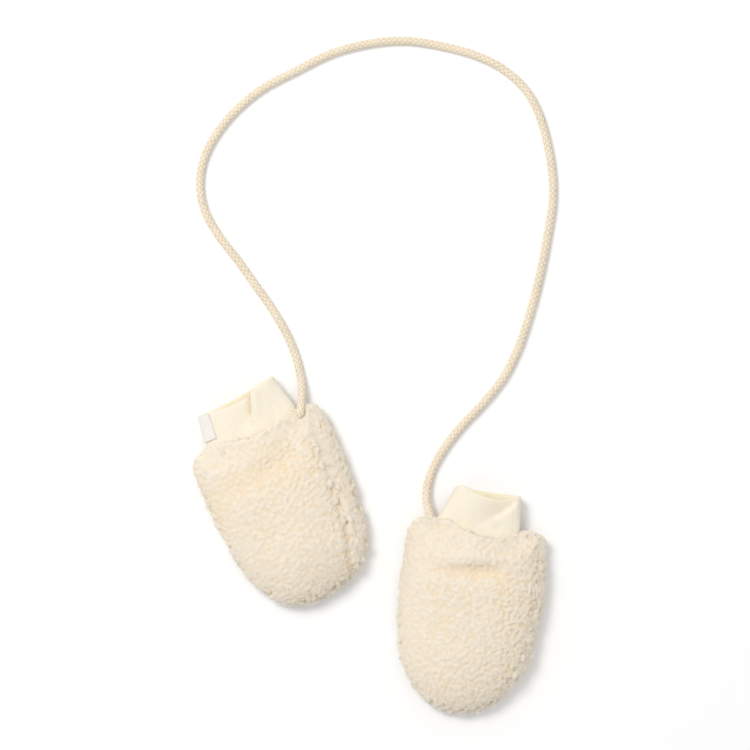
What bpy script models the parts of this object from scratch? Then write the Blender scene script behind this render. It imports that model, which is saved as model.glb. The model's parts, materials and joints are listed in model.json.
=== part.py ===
"""Pair of baby mittens joined by a cord, laid flat on a surface.

Each mitten is a thumbless pouch of two teddy-fleece panels, a back and a palm, with a doubled
jersey cuff sewn into its neck. The left mitten's cuff carries a small bare woven label. A round
braided cord joins the two inner neck corners. Lengths are in metres and +Z is up. The origin is
the middle of the two mittens' footprint, on the surface that they lie on.

A mitten is described in its own frame: "cross" runs from its left to its right, "along" runs
from its neck to its tip, and height is above the surface.
"""

import math
from collections import namedtuple

import bmesh
import bpy
import numpy as np

MM = 0.001

# Sewn seams: neighbouring pieces stand this far apart, and each panel's edge gives up more than
# half of it.
SEAM_GAP = 0.3 * MM
PANEL_SETBACK = 0.6 * SEAM_GAP

# Fleece pouch, shaped as a pillow with a flat underside. Its wall includes the pile. Its sides
# are at their seam height along the pouch and rise to the cuff's middle near the neck.
FLEECE_WALL = 6.0 * MM
PALM_WALL = 5.0 * MM
SIDE_SEAM_HEIGHT = 8.0 * MM
NECK_SIDE_HEIGHT = 11.8 * MM
NECK_SIDE_LENGTH = 15.0 * MM
BODY_HEIGHT = 28.0 * MM
NECK_HEIGHT = 24.0 * MM
NECK_SLOPE_LENGTH = 30.0 * MM
TOP_ROUNDING = 38.0 * MM
UNDER_ROUNDING = 9.0 * MM
INNER_UNDER_ROUNDING = 7.0 * MM
MEAN_HALF_WIDTH = 43.0 * MM
SHOULDER_DEPTH = 10.0 * MM
NECK_BAND = 5.5 * MM
SCOOP_REACH = 24.0 * MM
GROOVE_DEPTH = 1.8 * MM
GROOVE_REACH = 2.6 * MM

# Share of the outline's length at which its sides turn into the tip.
TIP_START = 0.42
TIP_END = 0.58
# Share of the pouch's length over which its wall rolls away from the cuff.
OUTER_ROLL = 0.06
INNER_ROLL = 0.11
# Share of the pouch's length over which both side seams come level with the edge at the tip.
TIP_FADE = 0.08
# Angles round a section count from its right edge over the crown to its left edge. The cuff and
# the panels share one step at the neck, so that their flat facets lie parallel. The hidden side
# seam runs one step under the left edge.
SECTION_STEP = math.radians(10)
LEFT_SEAM_ANGLE = math.pi + SECTION_STEP

# Jersey cuff: a tube with an oval section, doubled over at its rim.
CUFF_WALL = 2.2 * MM
CUFF_OVAL_POWER = 2.6
CUFF_RIM_ROUNDING = 0.8 * MM
CUFF_BASE_LIFT = 4.9 * MM
CUFF_RIM_LIFT = 0.2 * MM
CUFF_TUCK = 5.0 * MM
CUFF_CLEARANCE = 0.5 * MM
# Share of the half height over which the rim's lower layer turns into its upper one.
CUFF_RIM_TURN = 0.5
# Points nearer the cuff's middle than this share of its section are moved as if they were there.
CUFF_CORE = 0.1

# Label, folded round the left cuff's outer edge and on round its underside.
LABEL_THICKNESS = 0.5 * MM
LABEL_WIDTH_ON_TOP = 6.0 * MM
LABEL_START = -19.6 * MM
LABEL_END = -3.6 * MM
LABEL_UNDER_ANGLE = math.radians(30)

# Braided cord.
CORD_DIAMETER = 5.0 * MM
CORD_POINTS = 62
CORD_BEVEL_RESOLUTION = 3

# Mesh density.
POINTS_BETWEEN_KNOTS = 24
OUTLINE_POINTS = 400
PANEL_ROWS = 25
CUFF_ROWS = 9
LABEL_ROWS = 5
LABEL_COLUMNS = 8
SHARP_EDGE = math.radians(50)

# Colours: linear red, green, blue and alpha.
FLEECE_COLOUR = (0.86, 0.76, 0.62, 1.0)
JERSEY_COLOUR = (0.93, 0.87, 0.70, 1.0)
LABEL_COLOUR = (0.87, 0.84, 0.78, 1.0)
CORD_COLOUR = (0.79, 0.69, 0.54, 1.0)

# Table rows are in millimetres and degrees.
# An outline runs from the neck's left corner round the tip to its right corner.
Edge = namedtuple("Edge", "cross along")
# A seam row gives, for a share of the pouch's length, how far round the section the right side
# seam lies.
Seam = namedtuple("Seam", "share angle")
# A rim row gives where the cuff's lower (far) and upper (near) layers end.
Rim = namedtuple("Rim", "cross far near")
# A swell is a soft rise of the surface, or a hollow where its rise is negative.
Swell = namedtuple("Swell", "cross along cross_reach along_reach rise")
Cuff = namedtuple("Cuff", "base_left base_right rim_left rim_right rim_along "
                          "base_height rim_height rims creases")
Mitten = namedtuple("Mitten", "place turn outline seam scoop scoop_centre swells cuff")

LEFT = Mitten(
    place=(-70.5 * MM, 68.1 * MM),
    turn=math.radians(23.6),
    outline=(
        Edge(-29.8, -0.3),
        Edge(-37.3, 2.4),
        Edge(-41.7, 8.0),
        Edge(-42.7, 30.6),
        Edge(-41.4, 58.8),
        Edge(-37.4, 81.0),
        Edge(-30.6, 94.8),
        Edge(-21.6, 104.6),
        Edge(-8.7, 108.6),
        Edge(6.0, 107.4),
        Edge(18.6, 104.4),
        Edge(29.0, 98.2),
        Edge(36.2, 88.0),
        Edge(40.4, 68.0),
        Edge(42.8, 48.0),
        Edge(43.9, 30.0),
        Edge(44.2, 12.0),
        Edge(41.4, 3.0),
        Edge(36.6, -0.6),
        Edge(30.1, 0.3),
    ),
    seam=(
        Seam(0.0, 10.0),
        Seam(0.2, 44.0),
        Seam(0.5, 45.0),
        Seam(0.64, 42.0),
        Seam(0.7, 33.0),
        Seam(0.88, 31.0),
    ),
    scoop=4.0 * MM,
    scoop_centre=2.0 * MM,
    swells=(
        Swell(12.0, 24.0, 13.0, 8.0, -1.6),
        Swell(-16.0, 14.0, 14.0, 9.0, 1.0),
        Swell(4.0, 80.0, 18.0, 14.0, 1.0),
        Swell(-20.0, 62.0, 10.0, 12.0, -0.9),
    ),
    cuff=Cuff(
        base_left=-29.5 * MM,
        base_right=29.8 * MM,
        rim_left=-26.4 * MM,
        rim_right=24.3 * MM,
        rim_along=-22.0 * MM,
        base_height=12.4 * MM,
        rim_height=17.4 * MM,
        rims=(
            Rim(-26.4, -19.4, -19.4),
            Rim(-17.0, -19.4, -18.4),
            Rim(-10.4, -19.8, -17.4),
            Rim(5.5, -21.3, -17.8),
            Rim(8.5, -21.7, -20.6),
            Rim(24.3, -24.0, -24.0),
        ),
        creases=(
            Swell(-6.0, -22.0, 9.0, 11.0, -2.0),
            Swell(7.0, -21.0, 3.0, 9.0, 1.0),
        ),
    ),
)
RIGHT = Mitten(
    place=(63.6 * MM, 9.9 * MM),
    turn=math.radians(-4.4),
    outline=(
        Edge(-26.1, -3.6),
        Edge(-33.4, -3.2),
        Edge(-38.8, 1.2),
        Edge(-40.6, 10.2),
        Edge(-42.2, 24.0),
        Edge(-43.1, 47.0),
        Edge(-41.3, 72.0),
        Edge(-37.6, 85.2),
        Edge(-31.8, 95.0),
        Edge(-22.6, 104.6),
        Edge(-12.0, 109.8),
        Edge(0.6, 110.6),
        Edge(11.4, 107.6),
        Edge(19.6, 103.0),
        Edge(30.6, 91.2),
        Edge(38.1, 76.8),
        Edge(41.8, 56.0),
        Edge(43.0, 36.0),
        Edge(42.2, 18.0),
        Edge(41.0, 6.6),
        Edge(36.8, 1.8),
        Edge(26.2, 1.4),
    ),
    seam=(
        Seam(0.0, 10.0),
        Seam(0.15, 14.0),
        Seam(0.45, 16.0),
        Seam(0.58, 28.0),
        Seam(0.85, 28.0),
    ),
    scoop=7.0 * MM,
    scoop_centre=6.0 * MM,
    swells=(
        Swell(6.0, 28.5, 20.0, 4.0, -3.0),
        Swell(4.0, 18.0, 18.0, 5.0, 1.2),
        Swell(-24.0, 40.0, 9.0, 18.0, 0.9),
        Swell(8.0, 62.0, 18.0, 14.0, 0.8),
    ),
    cuff=Cuff(
        base_left=-25.8 * MM,
        base_right=25.8 * MM,
        rim_left=-15.4 * MM,
        rim_right=25.3 * MM,
        rim_along=-20.5 * MM,
        base_height=12.6 * MM,
        rim_height=17.8 * MM,
        rims=(
            Rim(-15.4, -21.7, -21.7),
            Rim(-11.8, -23.6, -23.6),
            Rim(-4.0, -20.9, -20.4),
            Rim(5.6, -20.3, -17.3),
            Rim(13.5, -19.9, -16.1),
            Rim(25.3, -19.4, -19.4),
        ),
        creases=(
            Swell(15.0, -12.0, 5.0, 6.0, -1.8),
            Swell(-4.0, -12.0, 8.0, 9.0, 0.8),
        ),
    ),
)

# The cord's route: millimetres across, up the sheet and above the surface, from the left
# mitten's right neck corner to the right mitten's left one.
CORD_ROUTE = (
    (-41.3, 84.4, 10.2),
    (-41.0, 91.6, 6.4),
    (-41.7, 98.7, 3.7),
    (-45.3, 113.1, 2.6),
    (-51.6, 127.5, 2.6),
    (-60.3, 141.9, 2.6),
    (-70.5, 156.3, 2.6),
    (-80.7, 170.7, 2.6),
    (-91.8, 185.1, 2.6),
    (-99.6, 199.5, 2.6),
    (-102.3, 213.9, 2.6),
    (-100.5, 228.3, 2.6),
    (-93.9, 242.7, 2.6),
    (-82.8, 257.1, 2.6),
    (-66.0, 271.5, 2.6),
    (-44.7, 282.9, 2.6),
    (-23.1, 293.4, 2.6),
    (-1.5, 299.1, 2.6),
    (20.1, 300.9, 2.6),
    (41.7, 297.9, 2.6),
    (63.3, 292.0, 2.6),
    (78.6, 284.4, 2.6),
    (92.1, 272.4, 2.6),
    (100.8, 257.1, 2.6),
    (108.0, 228.3, 2.6),
    (109.2, 206.7, 2.6),
    (106.2, 185.1, 2.6),
    (100.5, 156.3, 2.6),
    (92.4, 127.5, 2.6),
    (87.0, 113.1, 2.6),
    (79.5, 98.7, 2.6),
    (68.1, 84.3, 2.6),
    (54.6, 69.9, 2.6),
    (43.5, 55.5, 2.6),
    (36.0, 41.1, 2.8),
    (33.3, 28.5, 5.4),
    (35.0, 17.4, 10.4),
)


def smooth_curve(knots, count):
    """Reads count evenly spaced points from a centripetal Catmull-Rom curve through knots."""
    knots = np.array(knots, float)
    first = 2 * knots[0] - knots[1]
    last = 2 * knots[-1] - knots[-2]
    line = np.vstack([first, knots, last])
    share = np.linspace(0, 1, POINTS_BETWEEN_KNOTS, endpoint=False)[:, None]
    path = []
    for a, b, c, d in zip(line, line[1:], line[2:], line[3:]):
        t1 = math.sqrt(np.linalg.norm(b - a))
        t2 = t1 + math.sqrt(np.linalg.norm(c - b))
        t3 = t2 + math.sqrt(np.linalg.norm(d - c))
        t = t1 + (t2 - t1) * share
        ab = a + (b - a) * t / t1
        bc = b + (c - b) * (t - t1) / (t2 - t1)
        cd = c + (d - c) * (t - t2) / (t3 - t2)
        abc = ab + (bc - ab) * t / t2
        bcd = bc + (cd - bc) * (t - t1) / (t3 - t1)
        path.append(abc + (bcd - abc) * (t - t1) / (t2 - t1))
    path = np.vstack(path + [knots[-1:]])
    return evenly_spaced(path, count)


def evenly_spaced(path, count):
    """Resamples a polyline at equal steps of its length."""
    steps = np.linalg.norm(np.diff(path, axis=0), axis=1)
    length = np.concatenate([[0], np.cumsum(steps)])
    at = np.linspace(0, length[-1], count)
    return np.stack([np.interp(at, length, path[:, k]) for k in range(path.shape[1])], axis=1)


def at_share(curve, share):
    """Reads points of an evenly spaced curve at shares 0 to 1 of its length."""
    index = np.linspace(0, 1, len(curve))
    return np.stack([np.interp(share, index, curve[:, k]) for k in range(2)], axis=-1)


def smooth_step(x):
    """Rises smoothly from 0 at x = 0 to 1 at x = 1."""
    x = np.clip(x, 0, 1)
    return x * x * (3 - 2 * x)


def round_edge(x):
    """Rises as a quarter circle from 0 at x = 0 to 1 at x = 1."""
    return np.sqrt(1 - (1 - np.clip(x, 0, 1)) ** 2)


def hump(swells, cross, along):
    """Adds up soft rises and hollows at a place on the plan."""
    total = np.zeros_like(cross)
    for swell in swells:
        far = ((cross / MM - swell.cross) / swell.cross_reach) ** 2
        far = far + ((along / MM - swell.along) / swell.along_reach) ** 2
        total = total + swell.rise * MM * np.exp(-far)
    return total


def edge_distance(points, outline):
    """Gives each plan point's distance to the outline."""
    flat = points.reshape(-1, 1, 2)
    start = outline[:-1]
    run = outline[1:] - start
    share = ((flat - start) * run).sum(axis=2) / (run * run).sum(axis=1)
    nearest = start + np.clip(share, 0, 1)[:, :, None] * run
    distance = np.linalg.norm(flat - nearest, axis=2).min(axis=1)
    return distance.reshape(points.shape[:-1])


def inner_outline(outline):
    """Moves an outline in by the fleece's wall at its sides and tip."""
    tip = outline[:, 1].max()
    narrowing = FLEECE_WALL / MEAN_HALF_WIDTH * smooth_step(outline[:, 1] / SHOULDER_DEPTH)
    cross = outline[:, 0] * (1 - narrowing)
    along = NECK_BAND + outline[:, 1] * (tip - FLEECE_WALL - NECK_BAND) / tip
    return np.stack([cross, along], axis=1)


def neck_scoop(mitten, cross, angle):
    """Gives how far the back panel's neckline dips below the line between its corners."""
    share = np.clip((cross - mitten.scoop_centre) / SCOOP_REACH, -1, 1)
    return mitten.scoop * np.cos(share * math.pi / 2) ** 2 * (np.sin(angle) > 0)


def plan_patch(mitten, outline, angle, down):
    """Maps an angle round the pouch and a share of its length to a place on its plan.

    The plan is a Coons patch between the neckline, the two sides and the tip.
    """
    across = (1 + np.cos(angle)) / 2
    left = at_share(outline, down * TIP_START)
    right = at_share(outline, 1 - down * (1 - TIP_END))
    tip = at_share(outline, TIP_START + across * (TIP_END - TIP_START))
    across = across[..., None]
    down = down[..., None]
    neck = outline[0] + across * (outline[-1] - outline[0])
    neck[..., 1] += neck_scoop(mitten, neck[..., 0], angle)
    corners = (1 - across) * (1 - down) * outline[0] + across * (1 - down) * outline[-1]
    corners = corners + (1 - across) * down * at_share(outline, TIP_START)
    corners = corners + across * down * at_share(outline, TIP_END)
    sides = (1 - across) * left + across * right
    return (1 - down) * neck + down * tip + sides - corners


def end_fade(down):
    """Falls from 1 to 0 over the last stretch before the tip."""
    return smooth_step((1 - down) / TIP_FADE)


def right_seam(mitten, down):
    """Gives the angle of the side seam that shows near the right edge."""
    share = [row.share for row in mitten.seam]
    angle = [row.angle for row in mitten.seam]
    return np.radians(np.interp(down, share, angle)) * end_fade(down)


def cuff_section(cuff, along):
    """Gives the middle, half width, mid-height and half height of the cuff's oval section."""
    to_base = np.clip((along - cuff.rim_along) / -cuff.rim_along, 0, 1)
    left = cuff.rim_left + (cuff.base_left - cuff.rim_left) * to_base
    right = cuff.rim_right + (cuff.base_right - cuff.rim_right) * to_base
    height = cuff.rim_height + (cuff.base_height - cuff.rim_height) * smooth_step(to_base)
    lift = CUFF_RIM_LIFT + (CUFF_BASE_LIFT - CUFF_RIM_LIFT) * smooth_step(to_base)
    return (left + right) / 2, (right - left) / 2, lift + height / 2, height / 2


def cuff_point(cuff, angle, along, grow):
    """Gives a point of the cuff's oval section, moved out by grow."""
    middle, half_width, mid_height, half_height = cuff_section(cuff, along)
    flat = 2 / CUFF_OVAL_POWER
    run = np.sign(np.cos(angle)) * np.abs(np.cos(angle)) ** flat
    rise = np.sign(np.sin(angle)) * np.abs(np.sin(angle)) ** flat
    cross = middle + (half_width + grow) * run
    level = mid_height + (half_height + grow) * rise
    level = level + hump(cuff.creases, cross, along) * np.clip(rise, 0, 1)
    return np.stack([cross, along + 0 * cross, level], axis=-1)


def outside_cuff(cuff, points, reach):
    """Moves points that lie nearer the rim than reach straight out of the cuff's section."""
    cross, along, level = points[..., 0], points[..., 1], points[..., 2]
    middle, half_width, mid_height, half_height = cuff_section(cuff, along)
    x = (cross - middle) / (half_width + CUFF_CLEARANCE)
    y = (level - mid_height) / (half_height + CUFF_CLEARANCE)
    size = (np.abs(x) ** CUFF_OVAL_POWER + np.abs(y) ** CUFF_OVAL_POWER) ** (1 / CUFF_OVAL_POWER)
    push = np.where((along < reach) & (size < 1), 1 / np.maximum(size, CUFF_CORE), 1)
    cross = middle + (cross - middle) * push
    level = mid_height + (level - mid_height) * push
    return np.stack([cross, along, level], axis=-1)


def pouch_surface(mitten, outline, angle, down, inner):
    """Gives points of the pouch's outer or inner surface in the mitten's own frame."""
    used = inner_outline(outline) if inner else outline
    plan = plan_patch(mitten, used, angle, down)
    cross = plan[..., 0]
    along = plan[..., 1]
    distance = edge_distance(plan, used)
    upper = np.sin(angle) > 0
    slope = smooth_step(along / NECK_SLOPE_LENGTH)
    crown = NECK_HEIGHT + (BODY_HEIGHT - NECK_HEIGHT) * slope
    if inner:
        crown = crown - FLEECE_WALL
    side = SIDE_SEAM_HEIGHT - NECK_SIDE_HEIGHT
    side = NECK_SIDE_HEIGHT + side * smooth_step(along / NECK_SIDE_LENGTH)
    crown_share = round_edge(distance / TOP_ROUNDING)
    top = side + (crown - side) * crown_share
    top = top + hump(mitten.swells, cross, along) * crown_share
    if not inner:
        off_seam = np.cos(angle) - np.cos(right_seam(mitten, down))
        groove = GROOVE_DEPTH * np.exp(-(off_seam * MEAN_HALF_WIDTH / GROOVE_REACH) ** 2)
        top = top - groove * crown_share
    floor = PALM_WALL if inner else 0.0
    rounding = INNER_UNDER_ROUNDING if inner else UNDER_ROUNDING
    bottom = floor + (side - floor) * (1 - round_edge(distance / rounding))
    level = np.where(upper, top, bottom)
    body = np.stack([cross, along, level], axis=-1)
    neck_along = plan_patch(mitten, used, angle, 0 * down)[..., 1]
    neck = cuff_point(mitten.cuff, angle, neck_along, CUFF_CLEARANCE)
    if inner:
        share = smooth_step(down / INNER_ROLL)
    else:
        share = round_edge(down / OUTER_ROLL)
    blend = neck + (body - neck) * share[..., None]
    return outside_cuff(mitten.cuff, blend, neck_along + NECK_BAND)


def pull_in(grid, distance):
    """Moves a grid's sides and tip towards its inside, so that panels part at their seams."""
    rows, columns = grid.shape[:2]
    inside_row = np.clip(np.arange(rows), 0, rows - 2)[:, None]
    inside_column = np.clip(np.arange(columns), 1, columns - 2)[None, :]
    step = grid[inside_row, inside_column] - grid
    length = np.linalg.norm(step, axis=2, keepdims=True)
    return grid + step / np.maximum(length, distance) * distance


def new_material(name, colour, roughness):
    """Makes a plain cloth material."""
    material = bpy.data.materials.new(name)
    material.use_nodes = True
    shader = material.node_tree.nodes["Principled BSDF"]
    shader.inputs["Base Color"].default_value = colour
    shader.inputs["Roughness"].default_value = roughness
    shader.inputs["Metallic"].default_value = 0.0
    return material


def new_frame(name, mitten):
    """Adds the empty that carries one mitten's pieces."""
    frame = bpy.data.objects.new(name, None)
    frame.location = (*mitten.place, 0)
    frame.rotation_euler = (0, 0, mitten.turn)
    bpy.context.collection.objects.link(frame)
    return frame


def new_body(name, loops, capped, frame, material):
    """Skins closed loops of points into one closed body.

    Capped bodies are closed by a strip of faces between the two halves of their end loops, and
    the others return to their first loop. Faces on either side of a seam are cut along the same
    diagonal, so that they lie parallel.
    """
    mesh = bpy.data.meshes.new(name)
    bm = bmesh.new()
    rings = []
    for loop in loops:
        ring = [bm.verts.new((cross, -along, level)) for cross, along, level in loop]
        rings.append(ring)
    if not capped:
        rings.append(rings[0])
    for ring, after in zip(rings, rings[1:]):
        for k in range(len(ring)):
            n = (k + 1) % len(ring)
            if k < len(ring) // 2:
                bm.faces.new((ring[k], ring[n], after[n]))
                bm.faces.new((ring[k], after[n], after[k]))
            else:
                bm.faces.new((ring[k], ring[n], after[k]))
                bm.faces.new((ring[n], after[n], after[k]))
    if capped:
        for ring in (rings[0], rings[-1]):
            size = len(ring)
            for k in range(size // 2 - 1):
                bm.faces.new((ring[k], ring[k + 1], ring[size - 2 - k], ring[size - 1 - k]))
    bmesh.ops.recalc_face_normals(bm, faces=bm.faces)
    bmesh.ops.triangulate(bm, faces=bm.faces)
    bm.to_mesh(mesh)
    bm.free()
    mesh.materials.append(material)
    mesh.shade_smooth()
    mesh.set_sharp_from_angle(angle=SHARP_EDGE)
    body = bpy.data.objects.new(name, mesh)
    body.parent = frame
    bpy.context.collection.objects.link(body)
    return body


def add_panel(name, mitten, frame, material, from_angle, to_angle):
    """Adds one fleece panel, the part of the pouch's wall between two seams."""
    outline = smooth_curve([(e.cross * MM, e.along * MM) for e in mitten.outline], OUTLINE_POINTS)
    down = (1 - np.cos(np.linspace(0, math.pi, PANEL_ROWS))) / 2
    start = from_angle(mitten, down)
    end = to_angle(mitten, down)
    columns = round((end[0] - start[0]) / SECTION_STEP) + 1
    share = np.linspace(0, 1, columns)
    angle = start[:, None] + (end - start)[:, None] * share
    down = down[:, None] + 0 * angle
    outer = pull_in(pouch_surface(mitten, outline, angle, down, inner=False), PANEL_SETBACK)
    inner = pull_in(pouch_surface(mitten, outline, angle, down, inner=True), PANEL_SETBACK)
    loops = [np.vstack([front, back[::-1]]) for front, back in zip(outer, inner)]
    return new_body(name, loops, True, frame, material)


def left_seam(mitten, down):
    """Gives the angle of the hidden side seam, which comes level with the edge at the tip."""
    return math.pi + (LEFT_SEAM_ANGLE - math.pi) * end_fade(down)


def left_seam_before(mitten, down):
    """Gives the hidden side seam's angle one turn earlier, where the palm starts."""
    return left_seam(mitten, down) - 2 * math.pi


def add_cuff(name, mitten, frame, material):
    """Adds the doubled jersey tube that stands in the pouch's neck."""
    cuff = mitten.cuff
    angle = np.arange(round(2 * math.pi / SECTION_STEP)) * SECTION_STEP
    at_rim = cuff_point(cuff, angle, cuff.rim_along + 0 * angle, 0)[:, 0] / MM
    cross = [row.cross for row in cuff.rims]
    far = np.interp(at_rim, cross, [row.far for row in cuff.rims]) * MM
    near = np.interp(at_rim, cross, [row.near for row in cuff.rims]) * MM
    rim = far + (near - far) * smooth_step(np.sin(angle) / CUFF_RIM_TURN)
    left, right = mitten.outline[0], mitten.outline[-1]
    at_base = cuff_point(cuff, angle, 0 * angle, 0)[:, 0]
    neck = np.interp(at_base / MM, [left.cross, right.cross], [left.along, right.along]) * MM
    tuck = neck + neck_scoop(mitten, at_base, angle) + CUFF_TUCK
    loops = []
    for share in np.linspace(1, 0, CUFF_ROWS):
        loops.append(cuff_point(cuff, angle, rim + (tuck - rim) * share, 0))
    loops.append(cuff_point(cuff, angle, rim - CUFF_RIM_ROUNDING, -CUFF_WALL / 2))
    for share in np.linspace(0, 1, CUFF_ROWS):
        loops.append(cuff_point(cuff, angle, rim + (tuck - rim) * share, -CUFF_WALL))
    return new_body(name, loops, False, frame, material)


def add_label(name, mitten, frame, material):
    """Adds the woven strip, made from the cuff's own points moved out."""
    cuff = mitten.cuff
    middle = (cuff.rim_left + cuff.rim_right) / 2
    inner_edge = (cuff.rim_left + LABEL_WIDTH_ON_TOP - middle) / (cuff.rim_left - middle)
    top_angle = math.pi - math.acos(inner_edge ** (CUFF_OVAL_POWER / 2))
    angle = np.linspace(top_angle, math.pi + LABEL_UNDER_ANGLE, LABEL_COLUMNS)
    loops = []
    for along in np.linspace(LABEL_START, LABEL_END, LABEL_ROWS):
        face = cuff_point(cuff, angle, along + 0 * angle, SEAM_GAP + LABEL_THICKNESS)
        back = cuff_point(cuff, angle, along + 0 * angle, SEAM_GAP)
        loops.append(np.vstack([face, back[::-1]]))
    return new_body(name, loops, True, frame, material)


def add_cord(name, material):
    """Adds the cord as one round tube along its route."""
    curve = bpy.data.curves.new(name, "CURVE")
    curve.dimensions = "3D"
    curve.bevel_depth = CORD_DIAMETER / 2
    curve.bevel_resolution = CORD_BEVEL_RESOLUTION
    curve.use_fill_caps = True
    points = smooth_curve(CORD_ROUTE, CORD_POINTS) * MM
    spline = curve.splines.new("POLY")
    spline.points.add(len(points) - 1)
    for point, (x, y, z) in zip(spline.points, points):
        point.co = (x, y, z, 1)
    curve.materials.append(material)
    cord = bpy.data.objects.new(name, curve)
    bpy.context.collection.objects.link(cord)
    return cord


def main():
    """Builds both mittens and the cord between them."""
    for old in list(bpy.data.objects):
        bpy.data.objects.remove(old)
    fleece = new_material("teddy_fleece", FLEECE_COLOUR, 0.95)
    jersey = new_material("jersey", JERSEY_COLOUR, 0.85)
    woven = new_material("woven_label", LABEL_COLOUR, 0.7)
    braid = new_material("braid", CORD_COLOUR, 0.85)
    for side, mitten in (("left", LEFT), ("right", RIGHT)):
        frame = new_frame(f"{side}_mitten", mitten)
        add_panel(f"{side}_back_panel", mitten, frame, fleece, right_seam, left_seam)
        add_panel(f"{side}_palm_panel", mitten, frame, fleece, left_seam_before, right_seam)
        add_cuff(f"{side}_cuff", mitten, frame, jersey)
        if side == "left":
            add_label("left_label", mitten, frame, woven)
    add_cord("cord", braid)


main()
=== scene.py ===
"""Pair of baby mittens in teddy fleece, with jersey cuffs and a braided neck cord.

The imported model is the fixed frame. Every soft piece is modelled again here as cloth: the
fleece panels as a pile of curled tufts, the cuffs as knitted tubes with their folds, the
label as a woven strip and the cord as an eight-strand braid.
"""

import json
import logging
import math
from collections.abc import Iterator
from contextlib import contextmanager
from dataclasses import dataclass
from enum import Enum

import bpy
import numpy as np
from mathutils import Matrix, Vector
from mathutils.bvhtree import BVHTree
from mathutils.kdtree import KDTree

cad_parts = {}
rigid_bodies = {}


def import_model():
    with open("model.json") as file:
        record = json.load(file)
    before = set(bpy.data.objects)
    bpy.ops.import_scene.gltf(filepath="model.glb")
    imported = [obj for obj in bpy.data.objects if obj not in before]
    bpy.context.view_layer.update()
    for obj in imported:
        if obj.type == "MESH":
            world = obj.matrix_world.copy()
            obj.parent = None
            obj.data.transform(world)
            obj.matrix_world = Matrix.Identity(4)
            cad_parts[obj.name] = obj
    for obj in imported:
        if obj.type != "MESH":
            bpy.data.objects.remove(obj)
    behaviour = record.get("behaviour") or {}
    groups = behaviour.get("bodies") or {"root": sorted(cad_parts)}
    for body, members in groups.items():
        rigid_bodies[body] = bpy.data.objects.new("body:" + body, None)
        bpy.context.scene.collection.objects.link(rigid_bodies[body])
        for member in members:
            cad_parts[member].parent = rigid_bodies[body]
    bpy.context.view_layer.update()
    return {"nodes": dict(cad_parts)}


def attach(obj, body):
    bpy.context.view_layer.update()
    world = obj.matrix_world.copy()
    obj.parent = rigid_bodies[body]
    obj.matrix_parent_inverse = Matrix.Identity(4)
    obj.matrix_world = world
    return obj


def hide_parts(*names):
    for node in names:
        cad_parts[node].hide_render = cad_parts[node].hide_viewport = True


LOG = logging.getLogger("mittens")
MM = 0.001
MERGE_DISTANCE = 1e-5
BODY = "root"

Pair = tuple[float, float]
Triple = tuple[float, float, float]
Array = np.ndarray
Piece = bpy.types.Object
Mesh = bpy.types.Mesh
Material = bpy.types.Material
Socket = bpy.types.NodeSocket
Items = bpy.types.bpy_prop_collection


class Side(Enum):
    """Which mitten of the pair a piece belongs to."""

    LEFT = "left"
    RIGHT = "right"


class Face(Enum):
    """Which of a mitten's two fleece panels is meant."""

    BACK = "back_panel"
    PALM = "palm_panel"


# ------------------------------------------------------------------ small mesh tools


def select_only(piece: Piece) -> None:
    """Makes one object the only selected one, and the active one.

    Args:
        piece: the object to select.
    """
    bpy.ops.object.select_all(action="DESELECT")
    piece.select_set(True)
    bpy.context.view_layer.objects.active = piece


@contextmanager
def editing(piece: Piece) -> Iterator[None]:
    """Opens a piece in edit mode with all of it selected, for the block that follows.

    Args:
        piece: the piece to edit.

    Yields:
        Nothing. Object mode is back when the block ends.
    """
    select_only(piece)
    bpy.ops.object.mode_set(mode="EDIT")
    bpy.ops.mesh.select_all(action="SELECT")
    yield
    bpy.ops.object.mode_set(mode="OBJECT")


def read_rows(items: Items, key: str, kind: type) -> Array:
    """Reads three numbers from each item of a mesh.

    Args:
        items: the mesh's vertices, normals or triangles.
        key: the property to read.
        kind: the type of its numbers.

    Returns:
        One row for each item.
    """
    flat = np.empty(len(items) * 3, kind)
    items.foreach_get(key, flat)
    return flat.reshape(-1, 3)


def mesh_points(mesh: Mesh) -> Array:
    """Reads the x, y, z of each vertex, in metres."""
    return read_rows(mesh.vertices, "co", np.float32).astype(float)


def mesh_normals(mesh: Mesh) -> Array:
    """Reads the unit normal of each vertex."""
    return read_rows(mesh.vertex_normals, "vector", np.float32).astype(float)


def mesh_corners(mesh: Mesh) -> Array:
    """Reads the three vertex numbers of each triangle."""
    mesh.calc_loop_triangles()
    return read_rows(mesh.loop_triangles, "vertices", np.int32)


def set_points(mesh: Mesh, points: Array) -> None:
    """Moves a mesh's vertices.

    Args:
        mesh: the mesh to change.
        points: the new place of each vertex.
    """
    mesh.vertices.foreach_set("co", points.astype(np.float32).ravel())
    mesh.update()


def new_piece(name: str, points: Array, loops: Array) -> Piece:
    """Makes an object from points and faces that all have as many corners.

    Args:
        name: the object's name.
        points: one row for each vertex.
        loops: one row of vertex numbers for each face.

    Returns:
        The new object, linked to the scene.
    """
    mesh = bpy.data.meshes.new(name)
    mesh.vertices.add(len(points))
    mesh.vertices.foreach_set("co", points.astype(np.float32).ravel())
    mesh.loops.add(loops.size)
    mesh.loops.foreach_set("vertex_index", loops.astype(np.int32).ravel())
    mesh.polygons.add(len(loops))
    starts = np.arange(0, loops.size, loops.shape[1], dtype=np.int32)
    mesh.polygons.foreach_set("loop_start", starts)
    mesh.update(calc_edges=True)
    mesh.validate()
    piece = bpy.data.objects.new(name, mesh)
    bpy.context.scene.collection.objects.link(piece)
    return piece


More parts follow.
